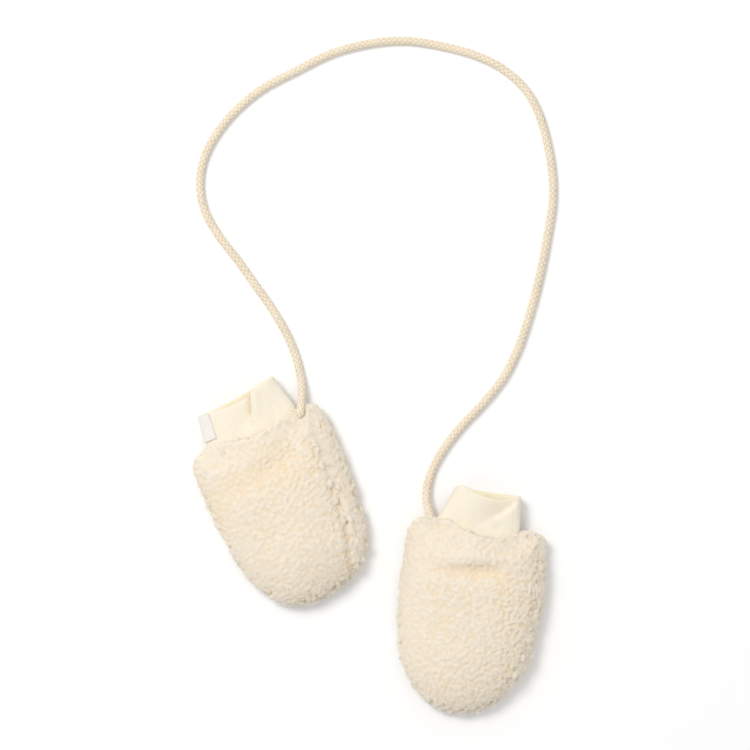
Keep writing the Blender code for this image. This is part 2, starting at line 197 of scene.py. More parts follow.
def add_values(mesh: Mesh, name: str, values: Array) -> None:
    """Writes one number, or one vector, for each vertex as an attribute.

    Args:
        mesh: the mesh to write to.
        name: the attribute's name.
        values: one number or one row of three for each vertex.
    """
    kind, key = ("FLOAT", "value") if values.ndim == 1 else ("FLOAT_VECTOR", "vector")
    layer = mesh.attributes.new(name, kind, "POINT")
    layer.data.foreach_set(key, values.astype(np.float32).ravel())


def merged_copy(node: Piece, name: str) -> Piece:
    """Copies a CAD node and merges its loose triangles.

    Args:
        node: the CAD node.
        name: the copy's name.

    Returns:
        The copy, selected, in object mode.
    """
    piece = bpy.data.objects.new(name, node.data.copy())
    bpy.context.scene.collection.objects.link(piece)
    select_only(piece)
    bpy.ops.mesh.customdata_custom_splitnormals_clear()
    with editing(piece):
        bpy.ops.mesh.remove_doubles(threshold=MERGE_DISTANCE)
        bpy.ops.mesh.normals_make_consistent(inside=False)
    return piece


def apply_modifier(piece: Piece, kind: str, **settings: object) -> None:
    """Adds a modifier, sets it and applies it.

    Args:
        piece: the object to change.
        kind: the modifier's type.
        settings: the modifier's own properties.
    """
    select_only(piece)
    modifier = piece.modifiers.new(kind.lower(), kind)
    for key, value in settings.items():
        setattr(modifier, key, value)
    bpy.ops.object.modifier_apply(modifier=modifier.name)


def keep_largest(piece: Piece) -> Piece:
    """Drops the loose specks that a remesh can leave inside a piece.

    Args:
        piece: the piece to clean.

    Returns:
        The piece's largest connected part, under the piece's name.
    """
    name = piece.name
    with editing(piece):
        bpy.ops.mesh.separate(type="LOOSE")
    parts = sorted(bpy.context.selected_objects, key=lambda part: len(part.data.vertices))
    for part in parts[:-1]:
        bpy.data.objects.remove(part)
    parts[-1].name = parts[-1].data.name = name
    return parts[-1]


def shade_smooth(piece: Piece) -> None:
    """Shades a piece smoothly all over."""
    select_only(piece)
    bpy.ops.object.shade_smooth()


def dress(piece: Piece, finish: Material) -> None:
    """Gives a piece its only finish, shades it smoothly and reports it.

    Args:
        piece: the piece to dress.
        finish: its material.
    """
    piece.data.materials.clear()
    piece.data.materials.append(finish)
    shade_smooth(piece)
    LOG.info("%s: %d faces", piece.name, len(piece.data.polygons))


def unit(vectors: Array) -> Array:
    """Scales each row to length one."""
    return vectors / np.maximum(np.linalg.norm(vectors, axis=1, keepdims=True), 1e-12)


def dot(a: Array, b: Array) -> Array:
    """Multiplies the vectors of two tables, row by row."""
    return (a * b).sum(axis=1)


def laid_down(vectors: Array, normals: Array) -> Array:
    """Lays each vector down on the surface that has the normal, at length one."""
    return unit(vectors - normals * dot(vectors, normals)[:, None])


def smooth_step(x: Array) -> Array:
    """Rises softly from 0 to 1 as x does."""
    x = np.clip(x, 0, 1)
    return x * x * (3 - 2 * x)


def rise(line: Pair, x: Array) -> Array:
    """Returns a straight line's height at x, from its height at 0 and its slope."""
    return line[0] + line[1] * x


def looks_up(height: Array) -> Array:
    """Tells from 0 to 1 how far a normal of that height looks up."""
    return smooth_step((height + 0.1) / 0.5)


def looks_aside(normals: Array) -> Array:
    """Tells from 0 to 1 how far the surface stands upright."""
    return smooth_step(1.3 - 1.9 * np.abs(normals[:, 2]))


def sees_sky(height: Array) -> Array:
    """Tells from 0 to 1 how much a surface whose normal has that height sees of the sky."""
    return np.clip((height + 0.9) / 0.6, 0, 1)


def wander(points: Array, rng: np.random.Generator, wave: float, reach: float) -> Array:
    """Pushes points about by a smooth random field, so that round things grow uneven.

    Args:
        points: rows of x, y, z.
        rng: the source of the field.
        wave: the field's usual wavelength.
        reach: how far the points move.

    Returns:
        The moved points.
    """
    waves, shortest, longest = 10, 0.7, 1.4
    way = unit(rng.normal(size=(waves, 3)))
    way = way * math.tau / (wave * rng.uniform(shortest, longest, (waves, 1)))
    phase = rng.uniform(0, math.tau, waves)
    push = unit(rng.normal(size=(waves, 3)))
    return points + reach * math.sqrt(2 / waves) * (np.sin(points @ way.T + phase) @ push)


# ------------------------------------------------------------------ where the mittens lie


@dataclass(frozen=True)
class Place:
    """Where a mitten lies: the middle of its neck on the ground, and its turn.

    In a mitten's own frame cross runs over its width, along runs from the neck, which is
    at 0, to the finger end, and the cuff has along below 0. Third comes the height.
    """

    x: float
    y: float
    turn: float

    def axes(self) -> tuple[Array, Array]:
        """Returns the directions of cross and along on the ground."""
        c, s = math.cos(self.turn), math.sin(self.turn)
        return np.array([c, s, 0.0]), np.array([s, -c, 0.0])

    def local(self, points: Array) -> Array:
        """Turns world points into cross, along and height.

        Args:
            points: rows of x, y, z in metres.

        Returns:
            Rows of cross, along and height in millimetres.
        """
        cross, along = self.axes()
        offset = points - np.array([self.x, self.y, 0.0])
        return np.stack([offset @ cross, offset @ along, points[:, 2]], axis=1) / MM

    def direction(self, cross: float, along: float) -> Array:
        """Works out a direction on the ground.

        Args:
            cross: its step over the width.
            along: its step along the mitten.

        Returns:
            The direction at length one.
        """
        across, down = self.axes()
        step = cross * across + along * down
        return step / np.linalg.norm(step)


PLACES = {
    Side.LEFT: Place(-70.5 * MM, 68.1 * MM, math.radians(23.6)),
    Side.RIGHT: Place(63.6 * MM, 9.9 * MM, math.radians(-4.4)),
}


@dataclass(frozen=True)
class Patch:
    """A soft-edged patch of a mitten, where something is more by a share, or less.

    Its place and its half sizes are in the mitten's own millimetres.
    """

    cross: float
    along: float
    half_width: float
    half_length: float
    share: float

    def at(self, cross: Array, along: Array) -> Array:
        """Works out what the patch adds.

        Args:
            cross: each point's place over the width.
            along: each point's place along the mitten.

        Returns:
            The share at each point.
        """
        x = (cross - self.cross) / self.half_width
        y = (along - self.along) / self.half_length
        return self.share * np.exp(-(x * x + y * y))


class Form:
    """A CAD node's shape: points, triangles, normals and a tree for nearest points."""

    top_share: float = 1.6

    def __init__(self, node: Piece, place: Place, dents: tuple[Patch, ...] = ()) -> None:
        """Reads the shape from a merged and finer copy, which is then thrown away.

        Args:
            node: the CAD node.
            place: where its mitten lies.
            dents: how far the top sinks in soft patches, in millimetres.
        """
        copy = merged_copy(node, "shape_to_read")
        apply_modifier(copy, "SUBSURF", subdivision_type="SIMPLE", levels=1, render_levels=1)
        points, normals = mesh_points(copy.data), mesh_normals(copy.data)
        cross, along, _ = place.local(points).T
        for dent in dents:
            upward = smooth_step(self.top_share * normals[:, 2])
            points[:, 2] -= dent.at(cross, along) * upward * MM
        set_points(copy.data, points)
        self.points = mesh_points(copy.data)
        self.normals = mesh_normals(copy.data)
        self.corners = mesh_corners(copy.data)
        bpy.data.objects.remove(copy)
        a, b, c = (self.points[self.corners[:, k]] for k in range(3))
        facing = np.cross(b - a, c - a)
        self.areas = np.linalg.norm(facing, axis=1) / 2
        self.facing = unit(facing)
        self.middles = (a + b + c) / 3
        self.tree = BVHTree.FromPolygons(self.points.tolist(), self.corners.tolist())

    def nearest(self, points: Array) -> tuple[Array, Array, Array]:
        """Finds the nearest place on the shape for each point.

        Args:
            points: rows of x, y, z.

        Returns:
            The nearest places, how far each point lies under the surface, and the number
            of the triangle that is nearest.
        """
        found = [self.tree.find_nearest(p) for p in points.tolist()]
        places = np.array([f[0] for f in found])
        facing = np.array([f[1] for f in found])
        triangles = np.array([f[2] for f in found])
        return places, dot(places - points, facing), triangles

    def smooth_normals(self, places: Array, triangles: Array) -> Array:
        """Blends the corners' normals at places on the shape.

        Args:
            places: places on the surface.
            triangles: the triangle that each lies on.

        Returns:
            One unit vector for each place.
        """
        offset = self.points[self.corners[triangles]] - places[:, None]
        sides = np.cross(np.roll(offset, -1, axis=1), np.roll(offset, -2, axis=1))
        weight = np.linalg.norm(sides, axis=2, keepdims=True)
        return unit((self.normals[self.corners[triangles]] * weight).sum(axis=1))


def nearest_of(centres: Array, points: Array) -> tuple[Array, Array]:
    """Finds the nearest of a few centres for each point.

    Args:
        centres: rows of x, y, z.
        points: rows of x, y, z.

    Returns:
        The number of the nearest centre and its distance.
    """
    tree = KDTree(len(centres))
    for i, centre in enumerate(centres.tolist()):
        tree.insert(centre, i)
    tree.balance()
    found = [tree.find(p) for p in points.tolist()]
    return np.array([f[1] for f in found]), np.array([f[2] for f in found])


# ------------------------------------------------------------------ finishes


def new_group(name: str, inputs: dict[str, float], outputs: list[str]) -> bpy.types.NodeTree:
    """Makes an empty shader node group with its sockets.

    Args:
        name: the group's name.
        inputs: the numbers it takes, with their defaults. It also takes a Vector.
        outputs: the numbers it gives.

    Returns:
        The group's tree, with its input and output nodes named "in" and "out".
    """
    group = bpy.data.node_groups.new(name, "ShaderNodeTree")
    group.interface.new_socket("Vector", in_out="INPUT", socket_type="NodeSocketVector")
    for key, value in inputs.items():
        socket = group.interface.new_socket(key, in_out="INPUT", socket_type="NodeSocketFloat")
        socket.default_value = value
    for key in outputs:
        group.interface.new_socket(key, in_out="OUTPUT", socket_type="NodeSocketFloat")
    group.nodes.new("NodeGroupInput").name = "in"
    group.nodes.new("NodeGroupOutput").name = "out"
    return group


class Nodes:
    """Places and joins the nodes of one tree."""

    def __init__(self, tree: bpy.types.NodeTree) -> None:
        """Keeps the tree to work on."""
        self.tree = tree

    def add(self, kind: str, **settings: object) -> bpy.types.Node:
        """Adds a node.

        Args:
            kind: the node's type.
            settings: its own properties.

        Returns:
            The node.
        """
        node = self.tree.nodes.new(kind)
        for key, value in settings.items():
            setattr(node, key, value)
        return node

    def feed(self, socket: Socket, value: object) -> None:
        """Joins a socket to another, or gives it a plain value.

        Args:
            socket: the socket to feed.
            value: a socket, a number, a vector or a colour of three numbers.
        """
        if isinstance(value, Socket):
            self.tree.links.new(value, socket)
        else:
            socket.default_value = (*value, 1.0) if socket.type == "RGBA" else value

    def fed(self, kind: str, values: dict[int | str, object], **settings: object) -> Items:
        """Adds a node and feeds its sockets.

        Args:
            kind: the node's type.
            values: what feeds its sockets, by number or name.
            settings: its own properties.

        Returns:
            The node's outputs.
        """
        node = self.add(kind, **settings)
        for key, value in values.items():
            self.feed(node.inputs[key], value)
        return node.outputs

    def math(self, operation: str, a: object, b: object = 0.0) -> Socket:
        """Works out one value from two."""
        return self.fed("ShaderNodeMath", {0: a, 1: b}, operation=operation)[0]

    def times(self, a: object, b: object) -> Socket:
        """Multiplies two values."""
        return self.math("MULTIPLY", a, b)

    def plus(self, a: object, b: object) -> Socket:
        """Adds two values."""
        return self.math("ADD", a, b)

    def mix(self, share: object, a: object, b: object) -> Socket:
        """Mixes two colours by a share."""
        return self.fed("ShaderNodeMix", {"Factor": share, 6: a, 7: b}, data_type="RGBA")[2]

    def span(self, value: object, low: float, high: float) -> Socket:
        """Maps low to high onto 0 to 1, softly and clamped."""
        values = {"Value": value, "From Min": low, "From Max": high}
        return self.fed("ShaderNodeMapRange", values, interpolation_type="SMOOTHSTEP")[0]

    def noise(
        self, vector: object, scale: object, detail: float = 2.0, output: str = "Fac"
    ) -> Socket:
        """Adds a noise pattern."""
        values = {"Vector": vector, "Scale": scale, "Detail": detail}
        return self.fed("ShaderNodeTexNoise", values)[output]

    def split(self, vector: object) -> Items:
        """Takes a vector apart into X, Y and Z."""
        return self.fed("ShaderNodeSeparateXYZ", {0: vector})

    def mapped(self, vector: object, **values: Triple) -> Socket:
        """Turns and stretches the place that a pattern follows."""
        return self.fed("ShaderNodeMapping", {"Vector": vector, **values})[0]

    def place(self) -> Socket:
        """Reads the place on the object."""
        return self.add("ShaderNodeTexCoord").outputs["Object"]

    def attribute(self, name: str, output: str = "Fac") -> Socket:
        """Reads an attribute of the mesh."""
        return self.add("ShaderNodeAttribute", attribute_name=name).outputs[output]


def cloth_grain_group() -> bpy.types.NodeTree:
    """Builds the grain that every cloth here shares, once.

    Returns:
        A group with a slow change of tint over the cloth, and the height of fine fibres
        that lie all ways.
    """
    name = "cloth_grain"
    if name in bpy.data.node_groups:
        return bpy.data.node_groups[name]
    group = new_group(name, {"Patch": 60.0, "Fibre": 2600.0}, ["Tint", "Height"])
    nodes = Nodes(group)
    taken = group.nodes["in"].outputs
    given = group.nodes["out"].inputs
    slow = nodes.noise(taken["Vector"], taken["Patch"], 3.0)
    nodes.feed(given["Tint"], nodes.span(slow, 0.3, 0.7))
    wave = nodes.times(taken["Fibre"], 0.3)
    warp = nodes.noise(taken["Vector"], wave, output="Color")
    push, stretch = (0.0012,) * 3, (1.0, 0.28, 1.0)
    values = {0: warp, 1: push, 2: taken["Vector"]}
    bent = nodes.fed("ShaderNodeVectorMath", values, operation="MULTIPLY_ADD")[0]
    lying = nodes.mapped(bent, Scale=stretch)
    crossing = nodes.mapped(bent, Rotation=(0.7, 0.0, 1.1), Scale=stretch)
    fibres = [nodes.noise(way, taken["Fibre"], 1.0) for way in (lying, crossing)]
    nodes.feed(given["Height"], nodes.math("MAXIMUM", *fibres))
    return group


@dataclass(frozen=True)
class Finish:
    """What every finish has: its name, its surface's plain values and its grain's scales."""

    name: str
    roughness: float = 0.9
    sheen: float = 0.2
    sheen_roughness: float = 0.5
    sheen_tint: Triple = (1.0, 0.97, 0.9)
    gloss: float = 0.1
    glow: float = 0.0
    glow_depth: float = 1.0 * MM
    glow_reach: Triple = (1.0, 0.8, 0.6)
    patch: float = 70.0
    fibre: float = 4000.0
    depth: float = 0.0

    def pattern(self, nodes: Nodes) -> tuple[Socket, Socket]:
        """Builds the colour and the height of the surface.

        Args:
            nodes: the material's nodes.

        Returns:
            The colour, and the height from about 0 to 1.
        """
        raise NotImplementedError

    def build(self) -> Material:
        """Builds the material from its plain values and its pattern.

        Returns:
            The material.
        """
        material = bpy.data.materials.new(self.name)
        material.use_nodes = True
        nodes = Nodes(material.node_tree)
        shader = material.node_tree.nodes["Principled BSDF"]
        for key, value in (
            ("Roughness", self.roughness),
            ("Specular IOR Level", self.gloss),
            ("Sheen Weight", self.sheen),
            ("Sheen Roughness", self.sheen_roughness),
            ("Sheen Tint", (*self.sheen_tint, 1.0)),
            ("Subsurface Weight", self.glow),
            ("Subsurface Radius", self.glow_reach),
            ("Subsurface Scale", self.glow_depth),
        ):
            shader.inputs[key].default_value = value
        colour, height = self.pattern(nodes)
        nodes.feed(shader.inputs["Base Color"], colour)
        if self.depth:
            bump = nodes.fed("ShaderNodeBump", {"Distance": self.depth, "Height": height})
            nodes.feed(shader.inputs["Normal"], bump["Normal"])
        return material

    def grain(self, nodes: Nodes, place: Socket) -> Items:
        """Places the shared cloth grain at this finish's own scales."""
        values = {"Vector": place, "Patch": self.patch, "Fibre": self.fibre}
        return nodes.fed("ShaderNodeGroup", values, node_tree=cloth_grain_group())


@dataclass(frozen=True)
class FleeceFinish(Finish):
    """Curled pile: pale on its tufts, with painted shade, darker and warmer, in the hollows
    between them.
    """

    fibre: float = 2400.0
    tip: Triple = (0.85, 0.767, 0.64)
    # The middle and hollow colours are painted shade, darker and warmer the deeper the pile.
    middle: Triple = (0.85, 0.747, 0.60)
    hollow_shade: Triple = (0.85, 0.70, 0.50)
    middle_depths: Pair = (0.0, 0.55)
    hollow_shade_depths: Pair = (0.45, 1.3)
    tint: float = 0.35
    depth: float = 0.12 * MM

    def pattern(self, nodes: Nodes) -> tuple[Socket, Socket]:
        """Builds the colour and the height, as every finish does.

        Args:
            nodes: the material's nodes.

        Returns:
            The colour and the height.
        """
        grain = self.grain(nodes, nodes.place())
        # Painted shade: the colour darkens from tip to hollows with the pile's depth.
        deep = nodes.attribute("pile_depth")
        body = nodes.mix(nodes.span(deep, *self.middle_depths), self.tip, self.middle)
        body = nodes.mix(nodes.span(deep, *self.hollow_shade_depths), body, self.hollow_shade)
        pale = nodes.mix(nodes.times(grain["Tint"], self.tint), body, self.tip)
        return pale, grain["Height"]


@dataclass(frozen=True)
class JerseyFinish(Finish):
    """Fine single jersey: rows of small V stitches, yellower inside the cuff, with painted
    shade in the folds' creases.

    The spans of the crease's painted shade are distances in millimetres and shares of its
    length.
    """

    patch: float = 90.0
    fibre: float = 5200.0
    outside: Triple = (0.90, 0.825, 0.69)
    inside: Triple = (0.92, 0.84, 0.64)
    tint: float = 0.12
    # Painted shade in the folds' creases.
    crease: Triple = (0.78, 0.67, 0.47)
    crease_near: Pair = (0.1, 4.0)
    crease_far: Pair = (-0.6, -0.1)
    crease_start: Pair = (-0.05, 0.15)
    crease_end: Pair = (0.75, 1.1)
    wale: float = 0.75 * MM
    course: float = 0.6 * MM
    slant: float = 2.2
    stitch_share: float = 0.25
    fibre_share: float = 0.3
    depth: float = 0.1 * MM

    def knit(self, nodes: Nodes) -> Socket:
        """Builds the height of the stitches from the knit's own map.

        Args:
            nodes: the material's nodes.

        Returns:
            The height, from about 0 to 1.
        """
        lay = nodes.split(nodes.add("ShaderNodeUVMap", uv_map="knit").outputs[0])
        across = nodes.times(lay["X"], math.tau * MM / self.wale)
        rib = nodes.math("COSINE", across)
        half = nodes.math("ABSOLUTE", nodes.math("SINE", nodes.times(across, 0.5)))
        climb = nodes.times(lay["Y"], math.tau * MM / self.course)
        loop = nodes.math("SINE", nodes.plus(climb, nodes.times(half, self.slant)))
        share = self.stitch_share
        return nodes.plus(nodes.plus(nodes.times(rib, share), nodes.times(loop, share)), 0.5)

    def crease_shade_mask(self, nodes: Nodes) -> Socket:
        """Builds the mask of the painted shade in the folds' creases.

        Args:
            nodes: the material's nodes.

        Returns:
            The mask, from 0 to 1.
        """
        fold = nodes.split(nodes.attribute("crease", "Vector"))
        near = nodes.math("SUBTRACT", 1.0, nodes.span(fold["X"], *self.crease_near))
        far = nodes.span(fold["X"], *self.crease_far)
        first = nodes.span(fold["Y"], *self.crease_start)
        last = nodes.span(fold["Y"], *self.crease_end)
        run = nodes.times(nodes.math("SUBTRACT", first, last), fold["Z"])
        return nodes.times(nodes.times(near, far), run)

    def pattern(self, nodes: Nodes) -> tuple[Socket, Socket]:
        """Builds the colour and the height, as every finish does.

        Args:
            nodes: the material's nodes.

        Returns:
            The colour and the height.
        """
        grain = self.grain(nodes, nodes.place())
        body = nodes.mix(nodes.attribute("inside"), self.outside, self.inside)
        shade = nodes.mix(self.tint, body, self.inside)
        plain = nodes.mix(grain["Tint"], body, shade)
        # Painted shade: the colour darkens in the folds' creases.
        colour = nodes.mix(self.crease_shade_mask(nodes), plain, self.crease)
        fibres = nodes.times(grain["Height"], self.fibre_share)
        return colour, nodes.plus(self.knit(nodes), fibres)


@dataclass(frozen=True)
class LabelFinish(Finish):
    """Plain woven tape with close ribs, left bare."""

    patch: float = 300.0
    colour: Triple = (0.865, 0.835, 0.765)
    edge: Triple = (0.8, 0.75, 0.66)
    worn: float = 0.93
    tint: float = 0.5
    rib: float = 0.45 * MM
    rib_share: float = 0.4
    depth: float = 0.06 * MM

    def pattern(self, nodes: Nodes) -> tuple[Socket, Socket]:
        """Builds the colour and the height, as every finish does.

        Args:
            nodes: the material's nodes.

        Returns:
            The colour and the height.
        """
        turned = nodes.mapped(nodes.place(), Rotation=(0.0, 0.0, -PLACES[Side.LEFT].turn))
        grain = self.grain(nodes, turned)
        lay = nodes.split(turned)
        warp, weft = (
            nodes.math("SINE", nodes.times(lay[key], math.tau / self.rib)) for key in "XY"
        )
        ribs = nodes.times(nodes.times(warp, weft), self.rib_share)
        worn = tuple(self.worn * c for c in self.colour)
        body = nodes.mix(nodes.times(grain["Tint"], self.tint), self.colour, worn)
        colour = nodes.mix(nodes.attribute("edge"), body, self.edge)
        return colour, nodes.plus(ribs, grain["Height"])


@dataclass(frozen=True)
class BraidFinish(Finish):
    """Cotton yarns of a braid: fine twisted plies, with painted shade where they dive under."""

    patch: float = 120.0
    fibre: float = 4200.0
    crown: Triple = (0.92, 0.81, 0.65)
    # Painted shade where the yarns dive under.
    gap: Triple = (0.72, 0.58, 0.41)
    dips: Pair = (0.15, 0.95)
    pale: float = 1.07
    tint: float = 0.4
    ply: float = 0.34 * MM
    twist: float = 0.45
    ply_share: float = 0.35
    depth: float = 0.07 * MM

    def pattern(self, nodes: Nodes) -> tuple[Socket, Socket]:
        """Builds the colour and the height, as every finish does.

        Args:
            nodes: the material's nodes.

        Returns:
            The colour and the height.
        """
        grain = self.grain(nodes, nodes.place())
        yarn = nodes.split(nodes.attribute("yarn", "Vector"))
        twist = nodes.plus(yarn["X"], nodes.times(yarn["Y"], self.twist))
        plies = nodes.math("SINE", nodes.times(twist, math.tau * MM / self.ply))
        height = nodes.plus(nodes.times(plies, self.ply_share), grain["Height"])
        # Painted shade: darker in the gaps where the yarns dive under.
        body = nodes.mix(nodes.span(nodes.attribute("dip"), *self.dips), self.crown, self.gap)
        pale = tuple(min(1.0, self.pale * c) for c in self.crown)
        return nodes.mix(nodes.times(grain["Tint"], self.tint), body, pale), height


@dataclass(frozen=True)
class FloorFinish(Finish):
    """Pale matt floor with a faint change of tint."""

    patch: float = 0.5
    colour: Triple = (0.97, 0.97, 0.97)
    worn: float = 0.99

    def pattern(self, nodes: Nodes) -> tuple[Socket, Socket]:
        """Builds the colour and the height, as every finish does.

        Args:
            nodes: the material's nodes.

        Returns:
            The colour and the height.
        """
        worn = tuple(self.worn * c for c in self.colour)
        grain = self.grain(nodes, nodes.place())
        return nodes.mix(grain["Tint"], self.colour, worn), grain["Height"]


# ------------------------------------------------------------------ studio


@dataclass(frozen=True)
class Lamp:
    """A square soft light: where it hangs, how wide it is and its power."""

    name: str
    place: Triple
    width: float
    power: float


@dataclass
class Studio:
    """Pale floor, soft lights and a camera straight above."""

    middle: Pair = (2.7 * MM, 100.5 * MM)
    camera_height: float = 2.4
    view_width: float = 450 * MM
    sensor: float = 36.0
    far_clip: float = 20.0
    floor_size: float = 8.0
    world_strength: float = 0.63
    lamps: tuple[Lamp, ...] = (
        Lamp("key_light", (-0.95, 1.05, 2.2), 0.9, 31.0),
        Lamp("fill_light", (0.2, 0.0, 2.8), 2.4, 7.0),
    )

    def place_camera(self) -> None:
        """Hangs the camera over the middle of the pair."""
        lens = bpy.data.cameras.new("camera")
        lens.sensor_width = self.sensor
        lens.lens = self.sensor * self.camera_height / self.view_width
        lens.clip_end = self.far_clip
        camera = bpy.data.objects.new("camera", lens)
        camera.location = (*self.middle, self.camera_height)
        bpy.context.scene.collection.objects.link(camera)
        bpy.context.scene.camera = camera

    def place_lamps(self) -> None:
        """Hangs the lights and sets the pale surroundings."""
        for lamp in self.lamps:
            light = bpy.data.lights.new(lamp.name, "AREA")
            light.energy = lamp.power
            light.size = lamp.width
            holder = bpy.data.objects.new(lamp.name, light)
            holder.location = lamp.place
            aim = Vector((*self.middle, 0.0)) - Vector(lamp.place)
            holder.rotation_euler = aim.to_track_quat("-Z", "Y").to_euler()
            bpy.context.scene.collection.objects.link(holder)
        world = bpy.data.worlds.new("studio")
        world.use_nodes = True
        background = world.node_tree.nodes["Background"]
        background.inputs["Color"].default_value = (1.0, 1.0, 1.0, 1.0)
        background.inputs["Strength"].default_value = self.world_strength
        bpy.context.scene.world = world

    def lay_floor(self) -> None:
        """Lays the pale floor under the pair."""
        bpy.ops.mesh.primitive_plane_add(size=self.floor_size, location=(0, 0, 0))
        floor = bpy.context.object
        floor.name = "floor"
        floor.data.materials.append(FloorFinish("pale_floor", 0.9, sheen=0.0).build())

    def build(self) -> None:
        """Builds the whole studio."""
        self.place_camera()
        self.place_lamps()
        self.lay_floor()
        bpy.context.scene.view_settings.view_transform = "Standard"
        LOG.info("studio: %d lights, camera %.2f m up", len(self.lamps), self.camera_height)


# ------------------------------------------------------------------ neck cord


CORD_RISE = (
    (-42.1, 75.3, 14.2), (-42.0, 76.7, 16.4), (-41.8, 78.4, 17.6), (-41.6, 80.4, 16.9),
    (-41.4, 82.4, 14.2), (-41.3, 84.4, 10.2), (-41.0, 91.6, 6.4), (-41.7, 98.7, 3.7),
)  # fmt: skip
CORD_LOOP = (
    (-45.3, 113.1), (-51.6, 127.5), (-60.3, 141.9), (-70.5, 156.3), (-80.7, 170.7),
    (-91.8, 185.1), (-99.6, 199.5), (-102.3, 213.9), (-100.5, 228.3), (-93.9, 242.7),
    (-82.8, 257.1), (-66.0, 271.5), (-44.7, 282.9), (-23.1, 293.4), (-1.5, 299.1),
    (20.1, 300.9), (41.7, 297.9), (63.3, 292.0), (78.6, 284.4), (92.1, 272.4),
    (100.8, 257.1), (108.0, 228.3), (109.2, 206.7), (106.2, 185.1), (100.5, 156.3),
    (92.4, 127.5), (87.0, 113.1), (79.5, 98.7), (68.1, 84.3), (54.6, 69.9), (43.5, 55.5),
)  # fmt: skip
CORD_END = (
    (36.0, 41.1, 2.8), (33.3, 28.5, 5.4), (35.3, 17.4, 10.4), (36.6, 14.4, 11.8),
    (38.0, 12.0, 12.2),
)  # fmt: skip
LYING_HEIGHT = 2.6
CORD_ROUTE = tuple(
    (x * MM, y * MM, z * MM)
    for x, y, z in (*CORD_RISE, *((x, y, LYING_HEIGHT) for x, y in CORD_LOOP), *CORD_END)
)
READS_A_KNOT = 24


def smooth_route(knots: tuple[Triple, ...], step: float) -> Array:
    """Reads evenly spaced points from a centripetal Catmull-Rom curve.

    Args:
        knots: the points that the curve passes through.
        step: the distance between the points read.

    Returns:
        One row for each point.
    """
    inner = np.array(knots)
    line = np.vstack([2 * inner[0] - inner[1], inner, 2 * inner[-1] - inner[-2]])
    share = np.linspace(0, 1, READS_A_KNOT, endpoint=False)[:, None]
    path = []
    for a, b, c, d in zip(line, line[1:], line[2:], line[3:]):
        t1 = math.sqrt(np.linalg.norm(b - a))
        t2 = t1 + math.sqrt(np.linalg.norm(c - b))
        t3 = t2 + math.sqrt(np.linalg.norm(d - c))
        t = t1 + (t2 - t1) * share
        ab = a + (b - a) * t / t1
        bc = b + (c - b) * (t - t1) / (t2 - t1)
        cd = c + (d - c) * (t - t2) / (t3 - t2)
        abc = ab + (bc - ab) * t / t2
        bcd = bc + (cd - bc) * (t - t1) / (t3 - t1)
        path.append(abc + (bcd - abc) * (t - t1) / (t2 - t1))
    path = np.vstack(path + [inner[-1:]])
    steps = np.linalg.norm(np.diff(path, axis=0), axis=1)
    length = np.concatenate([[0], np.cumsum(steps)])
    at = np.linspace(0, length[-1], round(length[-1] / step) + 1)
    return np.stack([np.interp(at, length, path[:, k]) for k in range(3)], axis=1)


